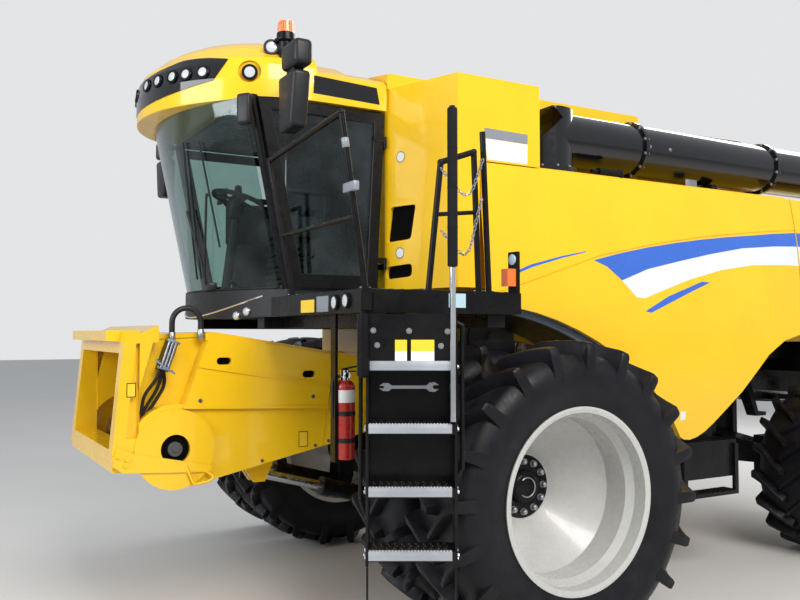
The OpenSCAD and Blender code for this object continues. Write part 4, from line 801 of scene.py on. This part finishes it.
def add_platform_trim():
    yellow, grey, white, dark, lens = Kit(), Kit(), Kit(), Kit(), Kit()
    front = (PLATFORM_FRONT + 0.2, 0, 0)
    yellow.plate(rectangle(1420, 1610, 2062, 2135), front, Y, Z, 1.6, 0.5)
    grey.plate(rectangle(1643, 1800, 2062, 2150), front, Y, Z, 1.6, 0.5)
    for y, z in ((1889, 2109), (2026, 2115)):
        dark.lathe((PLATFORM_FRONT - 0.5, y, z), X, [(0, 43), (12, 43), (16, 39), (16, 34), (10, 33)])
        lens.lathe((PLATFORM_FRONT + 10, y, z), X, [(0, 33.5), (3, 32), (8, 18), (9, 0)], 28)
    # Clamp and block of the gate
    grey.box((1492, 2085, 2672), (1526, 2215, 2722), 6)
    grey.lathe((1535, 2144.5, 2900), (0.155, -0.025, 1), [(0, 18.5), (2, 20), (48, 20), (50, 18.5)], 20)
    # Blank plates on the tank's side
    grey.side_plate([(200, 3232), (-158, 3228), (-161, 3294), (200, 3300)], TANK_SIDE_Y, FILM)
    white.side_plate([(178, 3090), (-155, 3090), (-158, 3226), (200, 3230)], TANK_SIDE_Y, FILM)
    # Blank round plates on the slanted shoulder
    out = SHOULDER_OUT.normalized()
    for place in ((572.5, 1037.5, 3150), (574.5, 1030, 2490)):
        white.lathe(Vector(place) + out * 0.6, out, [(-1, 34), (0.6, 33)], 28)
        dark.lathe(Vector(place) + out * 0.4, out, [(-2, 39), (0.3, 38)], 28)
    # Screws of the posts' feet
    for x, y in ((1430, 1196), (1430, 2160), (1040, 2150), (710, 2150), (640, 2150)):
        for dx in (26, -26):
            grey.lathe((x + dx, y, PLATFORM_TOP + 8), Z, [(0, 6.5), (4, 6), (5, 4)], 6)
    yellow.piece("platform_plate_yellow", "chassis", YELLOW_PLATE)
    grey.piece("platform_fittings", "chassis", GREY_PLATE)
    white.piece("tank_plates", "chassis", WHITE_PLATE)
    dark.piece("platform_lamp_rings", "chassis", "black_paint")
    lens.piece("platform_lamp_lenses", "chassis", LENS)


def add_gate_chains():
    chains = Kit()
    chain(chains, [(975, 2176, 2840), (800, 2180, 2660), (690, 2176, 2930)])
    chain(chains, [(975, 2176, 2500), (810, 2180, 2330), (705, 2176, 2700)])
    chains.piece("platform_chains", "chassis", ZINC)


def add_reflectors():
    flash = Kit()
    flash.side_plate(rectangle(832, 942, 2082, 2159), 2200.2, FILM)
    flash.lathe((469.8, 2148, 2365), X, [(0, 31), (6, 31), (8, 28), (8, 0)], 28)
    flash.piece("platform_reflectors", "chassis", REFLECTOR)


add_platform_tread()
add_platform_trim()
add_gate_chains()
add_reflectors()


# Fire extinguisher

BOTTLE_X, BOTTLE_Y = 1330, 1720
LABEL_R = 58.7


def add_extinguisher_trim():
    x, y = BOTTLE_X, BOTTLE_Y
    red, metal, dark, label = Kit(), Kit(), Kit(), Kit()
    red.lathe((x, y, 1634), Z, [(0, 58.4), (12, 57.5), (28, 50), (40, 36), (46, 24)], 40)
    red.lathe((x, y, 1236), Z, [(0, 50), (4, 58.8), (20, 58.8)], 40)
    metal.lathe((x, y, 1676), Z, [(0, 26.5), (18, 26.5), (22, 25.5), (60, 25.5), (66, 19)], 24)
    metal.lathe((x, y, 1700), X, [(20, 10), (44, 10), (46, 8)], 16)
    metal.lathe((x, y, 1708), Y, [(18, 14), (34, 17), (40, 17), (41, 14)], 20)
    # Levers, hose, straps and their buckle
    dark.box((x - 75, y - 9, 1742), (x + 20, y + 9, 1752), 3, turned(10))
    dark.box((x - 70, y - 8, 1722), (x, y + 8, 1730), 3)
    dark.tube([(x + 44, y, 1700), (x + 73, y, 1690), (x + 78, y, 1640), (x + 72, y, 1470)], 8, 30)
    for z in (1480, 1330):
        dark.lathe((x, y, z), Z, [(0, 58.2), (1, 60.2), (25, 60.2), (26, 58.2)], 40)
    dark.box((x + 55, y - 20, 1477), (x + 62, y + 20, 1508), 2)
    shape = bmesh.new()
    rows = [[(x + LABEL_R * c, y + LABEL_R * s, z) for c, s in turns(15, 25, 10)] for z in (1555, 1625)]
    skin(shape, rows, looped=False)
    label.take(shape)
    red.piece("extinguisher_shoulder", "chassis", "red_paint")
    metal.piece("extinguisher_valve", "chassis", CHROME)
    dark.piece("extinguisher_straps", "chassis", "dark_plastic")
    label.piece("extinguisher_label", "chassis", WHITE_PLATE)


add_extinguisher_trim()


# Roof: lamps and beacons

VISOR_X = 1150
# Lamps in the visor's band and work lamps: angle round the visor, distance from its middle, height
BAND_LAMPS = [(angle, 938.75, 3648) for angle in (9, 18.4, 27.8, 35, 43)]
WORK_LAMPS = [(62.3, 931, 3640), (71, 863, 3832)]
BAND_RING = ([(1, 47.5), (10, 46.5), (13, 43), (13, 33), (9.5, 29)], 32)
BAND_LENS = ([(9, 31), (11.5, 28), (13.5, 18), (14.2, 0)], 32)
WORK_RING = ([(-22, 49), (-18, 52), (4, 52), (7, 49), (7, 38), (1, 35)], 36)
WORK_LENS = ([(0, 37), (3, 35), (5, 20), (5.5, 0)], 32)
BEACON_AT = Vector((1345, 855, 0))
BEACON_FOOT = [(0, 45), (30, 45), (36, 50), (110, 50), (114, 62), (118, 78), (126, 78), (130, 62), (172, 60),
               (176, 56.2)]


def add_roof_trim():
    rings, lenses = Kit(), Kit()
    for lamps, lean, ring, lens in ((BAND_LAMPS, (0.9925, 0.1219), BAND_RING, BAND_LENS),
                                    (WORK_LAMPS, (1, 0), WORK_RING, WORK_LENS)):
        for angle, reach, z in lamps:
            (c, s), = turns(1, angle)
            out = Vector((c, s, 0))
            place, axis = Vector((VISOR_X, 0, z)) + out * reach, out * lean[0] + Z * lean[1]
            rings.lathe(place, axis, *ring)
            lenses.lathe(place, axis, *lens)
    rings.lathe(BEACON_AT + Z * 3750, Z, BEACON_FOOT, 36)
    for c, s in turns(5):
        rings.bolt(BEACON_AT + Vector((68 * c, 68 * s, 3876)), Z, 10)
    rings.both().piece("roof_lamp_rings", "chassis", "black_paint")
    lenses.both().piece("roof_lamp_lenses", "chassis", LENS)
    ribs = Kit()
    for c, s in turns(24):
        low, high = Vector((54.6 * c, 54.6 * s, 3925)), Vector((50.5 * c, 50.5 * s, 3996))
        ribs.tube([BEACON_AT + low, BEACON_AT + high], 1.8, sides=6)
    ribs.both().piece("beacon_ribs", "chassis", "lamp_lens")


add_roof_trim()


# Mirrors

def add_mirrors():
    kit = Kit()
    kit.plate([(1345, 3128), (1530, 3138), (1585, 3462), (1330, 3466)], (1480, 0, 0), Y, Z, 110, 26, 4)
    kit.box((1495, 1400, 3430), (1565, 1510, 3510), 8)
    kit.box((1478, 1375, 3487), (1592, 1605, 3640), 30, steps=4)
    kit.tube([(1360, 950, 3565), (1440, 1200, 3572), (1525, 1470, 3560)], 19, 50)
    kit.box((1310, 930, 3535), (1400, 968, 3598), 10)
    kit.lathe((1405, 1080, 3566.5), (0.08, 0.25, 0.006), [(0, 24.5), (4, 27.5), (36, 27.5), (40, 24.5)], 20)
    mirrors = kit.both().piece("mirror_housings", "chassis", "dark_plastic", 50)
    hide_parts("mirrors")
    glass = Kit()
    glass.plate([(1375, 3165), (1505, 3173), (1548, 3430), (1362, 3434)], (1480.5, 0, 0), Y, Z, -2.5)
    glass.plate(rectangle(1410, 1570, 3520, 3606), (1478.5, 0, 0), Y, Z, -2.5)
    glass.both().piece("mirror_glasses", "chassis", MIRROR)
    small = Kit()
    small.box((1628, 885, 3262), (1682, 985, 3462), 26, turned(38, "Z"), 4)
    small.tube([(1565, 868, 3455), (1620, 900, 3472), (1655, 935, 3440)], 9, 30)
    small.piece("small_mirror", "chassis", "dark_plastic")


add_mirrors()


# Cab: wipers, trim and door fittings

SHIELD_X, SHIELD_R, SHIELD_Z = 410, 1256, 2230
SHIELD_TILT = math.radians(12)
SILL_R = 1296.5
SILL_RISE = 0.00023
DOOR_FACE_Y = 926


def shield(y, z, off):
    """A point off the curved, tilted windshield."""
    rise = z - SHIELD_Z
    reach = math.sqrt((SHIELD_R + off) ** 2 - y * y)
    return Vector((SHIELD_X + (reach + rise * math.sin(SHIELD_TILT)) / math.cos(SHIELD_TILT), y, z))


def add_windshield_trim():
    wipers = Kit()
    for y0, y1, z0, z1 in ((160, 340, 2320, 3240), (500, 500, 2520, 3220)):
        blade = [shield(y0 + (y1 - y0) * t, z0 + (z1 - z0) * t, 16) for t in (k / 8 for k in range(9))]
        wipers.tube(blade, 7, sides=8)
        middle = blade[4] + X * 18
        wipers.tube([shield(300, 2270, 30), shield(320, 2360, 35), middle + X * 4, blade[4]], 8, 50)
        wipers.lathe(middle - X * 8, X, [(0, 12), (16, 10)], 12)
    wipers.box((1640, 250, 2235), (1700, 370, 2290), 10)
    wipers.piece("wipers", "chassis", "dark_plastic")
    gasket = Kit()
    gasket.tube([shield(820 * s, 2238, 4) for c, s in turns(25, -90, 7.5)], 8, sides=8)
    gasket.piece("shield_gasket", "chassis", RUBBER)


def add_door_fittings():
    door = Kit()
    window = [(770, 2330), (715, 3390), (1475, 3390), (1262, 2330), (770, 2330)]
    door.tube([(x, DOOR_FACE_Y, z) for x, z in window], 6, sides=8)
    # Handle
    door.tube([(1185, 936, 2440), (1185, 958, 2445), (1190, 958, 2498), (1190, 936, 2503)], 8, 12)
    door.piece("door_fittings", "cab_door", RUBBER)


def add_sill_trim():
    """A bright strip and two lamps round the front of the cab's base."""
    bright, lens = Kit(), Kit()
    arc = [(SILL_R * c, SILL_R * s) for c, s in turns(37, -36, 2)]
    bright.tube([(SHIELD_X + x, y, 2055 + SILL_RISE * y * y) for x, y in arc], 6.5, sides=8)
    for x, y, z in ((1573, 578, 2059), (1531, 657, 2086)):
        way = Vector((x - SHIELD_X, y, 0)).normalized()
        place = Vector((SHIELD_X, 0, z)) + way * 1294
        bright.lathe(place, way, [(0, 29), (12, 29), (16, 26), (16, 21), (10, 20)], 28)
        lens.lathe(place, way, [(8, 21.2), (12, 19), (15, 10), (15.5, 0)], 24)
    bright.piece("sill_chrome", "chassis", CHROME)
    lens.piece("sill_lamp_lenses", "chassis", LENS)


def add_hatch_painted_shade():
    """Painted shade: near-black plates in the two openings of the slanted shoulder, with the openings' rounded
    corners.
    """
    hatch = Kit()
    along = Vector((-SHOULDER_OUT.y, SHOULDER_OUT.x, 0))
    for corners, cut in (([(18, 2568), (236, 2580), (280, 2812), (56, 2812)], 26),
                         ([(12, 2312), (246, 2326), (246, 2414), (20, 2400)], 34)):
        outline = []
        for bend in zip(corners[-1:] + corners, corners, corners[1:] + corners[:1]):
            outline += rounded_path(bend, cut, 5)[1:-1]
        hatch.plate(outline, Vector((620, 900, 0)) - SHOULDER_OUT * 29.8, along.normalized(), Z, 4)
    hatch.both().piece("hatch_painted_shade", "chassis", SHADOW)


add_windshield_trim()
add_door_fittings()
add_sill_trim()
add_hatch_painted_shade()


# Seat, with its pads swollen by the cloth solver. The PAD values are in metres, as the solver's are

PAD_CURVE, PAD_VOXEL, PAD_SWELL = 0.03, 0.01, 0.014
PAD_PRESSURE = 4
PAD_FRAMES = 20
PADS = (("seat_cushion", (775, -235, 2715), (1150, 235, 2805)),
        ("seat_back", (712, -215, 2838), (790, 215, 3180)),
        ("seat_headrest", (722, -125, 3208), (782, 125, 3335)))


def applied(obj):
    """The mesh that an object's modifiers make. The object goes."""
    graph = bpy.context.evaluated_depsgraph_get()
    mesh = bpy.data.meshes.new_from_object(obj.evaluated_get(graph))
    bpy.data.objects.remove(obj)
    return mesh


def padded_mesh(size):
    """A bevelled pad about its own middle, in metres, swollen and then smoothed."""
    mesh = bpy.data.meshes.new("pad")
    form = rounded_box(size, PAD_CURVE, 4)
    form.to_mesh(mesh)
    form.free()
    pad = new_object("pad", mesh)
    remesh = pad.modifiers.new("voxels", "REMESH")
    remesh.mode = "VOXEL"
    remesh.voxel_size = PAD_VOXEL
    scene = bpy.context.scene
    cloth = pad.modifiers.new("cloth", "CLOTH")
    cloth.settings.use_pressure = True
    cloth.settings.uniform_pressure_force = PAD_PRESSURE
    cloth.settings.effector_weights.gravity = 0
    for step in range(1, PAD_FRAMES + 1):
        scene.frame_set(step)
        bpy.context.evaluated_depsgraph_get()
    swollen = applied(pad)
    scene.frame_set(1)
    limit = size / 2 + Vector((PAD_SWELL, PAD_SWELL, PAD_SWELL))
    for vert in swollen.vertices:
        vert.co = Vector([max(-limit[k], min(limit[k], vert.co[k])) for k in range(3)])
    pad = new_object("pad", swollen)
    pad.modifiers.new("relax", "SMOOTH").iterations = 3
    pad.modifiers.new("divide", "SUBSURF").levels = 1
    smooth = applied(pad)
    smooth.materials.clear()
    return smooth


def add_seat():
    for name, low, high in PADS:
        low, high = Vector(low), Vector(high)
        mesh = padded_mesh((high - low) * MM)
        mesh.transform(Matrix.Translation(TO_FRAME @ ((low + high) / 2)))
        pad = add_piece(name, mesh, "seat_cloth", "chassis", 60)
        if name == "seat_cushion":
            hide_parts("seat")
    base = Kit()
    base.box((860, -160, 2231), (1100, 160, 2300), 12)
    # Bellows
    for k in range(8):
        grow = 12 if k % 2 else 0
        z = 2300 + k * 45
        base.box((872 - grow, -148 - grow, z - 4), (1088 + grow, 148 + grow, z + 46), 16)
    base.box((790, -225, 2656), (1130, 225, 2704), 12)
    for sign in (-1, 1):
        base.tube([(752, sign * 100, 3150), (752, sign * 100, 3225)], 7)
        # Arm rest with its post
        y = sign * 300
        base.box((790, y - 32, 2960), (1120, y + 32, 3000), 14)
        base.tube([(800, y * 0.8, 2720), (800, y, 2790), (800, y, 2965)], 14, 50)
    base.piece("seat_base", "chassis", "dark_plastic")
    seams = Kit()
    for z in (2950, 3060):
        seams.tube([(803, -200, z), (806, 0, z + 4), (803, 200, z)], 2.5, sides=6)
    for y in (-150, 150):
        seams.tube([(790, y, 2817), (960, y, 2820), (1140, y, 2815)], 2.5, sides=6)
    seams.piece("seat_seams", "chassis", "seat_cloth")


add_seat()


# Console at the right hand with its lever and screen, hood of the steering column, and pedal

COLUMN_HOOD = [(-120, 40), (-60, 62), (10, 66), (22, 55), (52, 50), (56, 40), (58, 0)]


def add_controls():
    kit = Kit()
    kit.box((860, -520, 2640), (1300, -360, 2960), 25, steps=3)
    kit.box((900, -500, 2235), (1250, -380, 2650), 20)
    kit.tube([(1200, -440, 2955), (1215, -440, 3030)], 12)
    kit.box((1190, -465, 3020), (1245, -415, 3120), 22, steps=3)
    kit.lathe((1382, 0, 2900), (-0.27, 0, 0.96), COLUMN_HOOD, 28)
    kit.tube([(1400, 20, 2860), (1400, 200, 2900)], 7)
    kit.lathe((1400, 200, 2900), (0, 1, 0.2), [(0, 11), (40, 13), (45, 8)], 12)
    kit.box((1330, -530, 2960), (1356, -370, 3080), 10, turned(-12))
    kit.tube([(1270, -440, 2900), (1345, -450, 2990)], 11)
    kit.tube([(1355, 160, 2235), (1440, 160, 2310)], 12)
    kit.box((1420, 110, 2290), (1480, 210, 2310), 6, turned(-40))
    kit.piece("cab_console", "chassis", "dark_plastic")
    screen = Kit()
    screen.box((1327, -520, 2970), (1331, -380, 3070), 2, turned(-12))
    screen.piece("cab_screen", "chassis", SCREEN)


add_controls()


# Unloading auger, deck, tank cover and exhaust

AUGER_Y, AUGER_Z = 1200, 3370
FLANGES = (-1400, -2950, -5600)
FLANGE_T, FLANGE_BOLT_R = 30, 211.5
PIPE_Y, PIPE_Z = 1430, 3118
EXHAUST_AT = Vector((-3510, -500, 0))


def add_auger_trim():
    bolts = Kit()
    for x in FLANGES:
        for face, way in ((x, -X), (x + FLANGE_T, X)):
            bolts.bolt_ring((face, AUGER_Y, AUGER_Z), way, FLANGE_BOLT_R, 12, 16)
    bolts.bolt_ring((-560, AUGER_Y, 3134), Z, FLANGE_BOLT_R, 12, 18)
    for x in (-1643, -1425, -3400, -5000):
        bolts.bolt((x, AUGER_Y + 199.5, AUGER_Z), Y, 18)
    bolts.piece("auger_bolts", "unloading_auger", ZINC)


def add_deck_bracket():
    bright = Kit()
    bright.box((-2020, 1325, 3090), (-1890, 1330, 3175), 1)
    bright.box((-2020, 1325, 3088), (-1890, 1385, 3093), 1)
    for x in (-1990, -1920):
        bright.bolt((x, 1356, 3093), Z, 18)
    bright.piece("deck_bracket", "chassis", ZINC)


def add_hood_rail():
    """The handrail on the hood, and the pipe's end on the left deck."""
    rail = Kit()
    rail.tube([(-2130, 855, 3585), (-2240, 855, 3685), (-3180, 855, 3700), (-3260, 855, 3385)], 12, 60)
    rail.tube([(-1060, PIPE_Y, PIPE_Z), (-860, PIPE_Y, PIPE_Z)], 30)
    rail.tube([(-860, PIPE_Y, PIPE_Z), (-800, PIPE_Y, PIPE_Z)], 16)
    rail.box((-1090, 1400, 3088), (-1050, 1460, 3150), 6)
    rail.piece("hood_handrail", "chassis", "black_paint")


def add_cover_handle():
    hook = Kit()
    hook.tube([(-240, 926, 3742), (-240, 950, 3768), (-360, 950, 3768), (-360, 926, 3742)], 7, 15)
    hook.piece("cover_handle", "tank_cover_left", "yellow_paint")


def add_exhaust_bands():
    bands = Kit()
    bands.lathe(EXHAUST_AT + Z * 3722, Z, [(0, 70.5), (2, 74.5), (8, 74.5), (8.5, 60.5), (0, 60.2)], 36)
    for z in (3020, 3600):
        bands.lathe(EXHAUST_AT + Z * z, Z, [(0, 70.5), (2, 73.5), (22, 73.5), (24, 70.5)], 36)
    bands.piece("exhaust_bands", "chassis", "bare_steel")


add_auger_trim()
add_deck_bracket()
add_hood_rail()
add_cover_handle()
add_exhaust_bands()


# Feeder

FEEDER_SIDE_Y = 730
COVER_Y = 750
DRUM_X, DRUM_Z = 2020, 1220
SLOT_R, SLOT_REACH = 22.8, 26
COUPLER_LOW, COUPLER_HIGH = Vector((2090, 727, 1722)), Vector((2036, 727, 1884))
COUPLER_ACROSS = Vector((0.947, 0, 0.316))
COUPLER_LEAN = -18
# Hoses that go down from the coupler in the recess
HOSES = (((2085, 668, 1715), (2110, 665, 1600), (2190, 665, 1480), (2215, 665, 1400)),
         ((2100, 694, 1715), (2140, 692, 1640), (2205, 690, 1560), (2222, 690, 1440)),
         ((2075, 645, 1715), (2060, 642, 1620), (2120, 642, 1520), (2190, 645, 1420)))
FEEDER_HANDLE = [(1958, 762, 1120), (1910, 775, 998), (1814, 775, 1010), (1777, 775, 1038), (1826, 768, 1072)]


def add_feeder_plates():
    frames, plates, bolts = Kit(), Kit(), Kit()
    for x0, x1, z0, z1 in ((2262, 2318, 1552, 1640), (1120, 1187, 1178, 1282)):
        frames.side_plate(rectangle(x0, x1, z0, z1), FEEDER_SIDE_Y + 0.3, 1)
        plates.side_plate(rectangle(x0 + 5, x1 - 5, z0 + 5, z1 - 5), FEEDER_SIDE_Y + 1, 1)
    frames.piece("feeder_plate_frames", "feeder", "black_paint")
    for x, z in ((1867, 1516), (1091, 1515)):
        bolts.bolt((x, COVER_Y - 0.5, z), Y, 16)
    for x, z in ((1444, 1106), (1065, 1181), (966, 1206), (600, 1350), (600, 1700)):
        bolts.bolt((x, FEEDER_SIDE_Y - 0.5, z), Y, 14)
    bolts.both().piece("feeder_bolts", "feeder", "grey_metal")
    plates.piece("feeder_plates", "feeder", YELLOW_PLATE)


def add_feeder_lines():
    lines, handle = Kit(), Kit()
    for points in HOSES:
        lines.tube(points, 10.5, 80)
    lines.piece("feeder_hydraulic_lines", "feeder", RUBBER)
    handle.tube(FEEDER_HANDLE, 9, 20)
    handle.piece("feeder_handle", "feeder", "yellow_paint")


def add_feeder_openings():
    """Painted shade: near-black plates in the drum's hole and in the slots, for the shade inside them; and the
    end of the drum's shaft.
    """
    hole, slots, shaft = Kit(), Kit(), Kit()
    hole.lathe((DRUM_X, FEEDER_SIDE_Y - 8, DRUM_Z), Y, [(-10, 91.5), (0, 91.5), (0, 40)], 40)
    hole.both().piece("drum_hole_painted_shade", "feeder", SHADOW)
    for x, z in ((1714, 1764), (1120, 1667)):
        outline = []
        for end, first in ((SLOT_REACH, -90), (-SLOT_REACH, 90)):
            outline += [(x + end + SLOT_R * c, z + SLOT_R * s) for c, s in turns(13, first, 15)]
        slots.side_plate(outline, 706, 10)
    slots.both().piece("feeder_slot_painted_shade", "feeder", SHADOW)
    end = [(0, 46), (22, 46), (26, 42), (26, 20), (36, 18), (38, 0)]
    shaft.lathe((DRUM_X, FEEDER_SIDE_Y - 10, DRUM_Z), Y, end)
    shaft.both().piece("drum_shaft_end", "feeder", "grey_metal")


def add_coupler():
    """A row of bright tubes with their collars, its blocks and locking lever, and the loop hose's crimps."""
    caps, block = Kit(), Kit()
    for shift in (-21, 0, 21):
        low, high = COUPLER_LOW + COUPLER_ACROSS * shift, COUPLER_HIGH + COUPLER_ACROSS * shift
        caps.tube([low, high], 8.5, sides=14)
        for t in (0.12, 0.5, 0.86):
            caps.tube([low.lerp(high, t), low.lerp(high, t + 0.08)], 10.2, sides=14)
    block.box((2034, 719.5, 1712), (2136, 733, 1726), 3, turned(COUPLER_LEAN))
    block.box((1990, 719.5, 1882), (2074, 733, 1896), 3, turned(COUPLER_LEAN))
    block.tube([(2118, 722, 1770), (2150, 745, 1780), (2100, 755, 1735), (2030, 755, 1690)], 6, 20)
    block.piece("hydraulic_coupler", "feeder", COUPLER)
    for x, z in ((2032, 1905), (1848, 1925)):
        caps.lathe((x, 680, z), Z, [(0, 18.4), (2, 21.5), (40, 21.5), (44, 18.4)], 20)
        caps.lathe((x, 680, z - 20), Z, [(0, 25), (20, 25)], 6)
    caps.piece("hose_crimps", "feeder", ZINC)


add_feeder_plates()
add_feeder_lines()
add_feeder_openings()
add_coupler()


# Floor, backdrop and light, in the frame's metres

FLOOR_REACH, FLOOR_Z = 60, -0.002
# Name, place, aim, size, power and colour
LAMPS = (("key", (3, 11, 9), (-0.5, 0.8, 1.8), (8, 5), 1500, (1, 0.97, 0.92)),
         ("front", (12, 2, 5), (2, 0, 2), (6, 4), 500, (0.92, 0.96, 1)),
         ("back", (-9, -4, 8), (-1, 0, 2), (8, 5), 600, (1, 0.97, 0.93)))


def make_stage():
    material, tree, shader, coord = new_material("floor")
    colour = mixed(tree, noise(tree, coord, 0.6, 3), (0.62, 0.61, 0.59), (0.68, 0.67, 0.65))
    set_inputs(tree, shader, {"Base Color": colour, "Roughness": 0.8})
    mesh = bpy.data.meshes.new("floor")
    corners = rectangle(-FLOOR_REACH, FLOOR_REACH, -FLOOR_REACH, FLOOR_REACH)
    mesh.from_pydata([(x, y, 0) for x, y in corners], [], [(0, 1, 2, 3)])
    mesh.materials.append(material)
    floor = new_object("floor", mesh)
    floor.location = (0, 0, FLOOR_Z)


def make_world():
    """An even pale room. What the camera sees of it is a little brighter than the light it gives."""
    world = bpy.data.worlds.new("world")
    bpy.context.scene.world = world
    world.use_nodes = True
    tree = world.node_tree
    light = tree.nodes["Background"]
    set_inputs(tree, light, {"Color": (0.8, 0.84, 0.9, 1), "Strength": 0.62})
    seen = add_node(tree, "Background", {"Color": (0.86, 0.87, 0.88, 1), "Strength": 0.9})
    ray = add_node(tree, "LightPath", {}).outputs["Is Camera Ray"]
    choice = {0: ray, 1: light.outputs["Background"], 2: seen.outputs["Background"]}
    blend = add_node(tree, "MixShader", choice)
    set_inputs(tree, tree.nodes["World Output"], {"Surface": blend.outputs["Shader"]})


def make_lamps():
    for name, place, aim, size, power, colour in LAMPS:
        data = bpy.data.lights.new(name, "AREA")
        data.shape = "RECTANGLE"
        data.size, data.size_y = size
        data.energy = power
        data.color = colour
        lamp = new_object(name, data)
        lamp.location = place
        lamp.rotation_euler = (Vector(aim) - Vector(place)).to_track_quat("-Z", "Y").to_euler()


make_stage()
make_world()
make_lamps()

view = bpy.context.scene.view_settings
view.view_transform = "Standard"
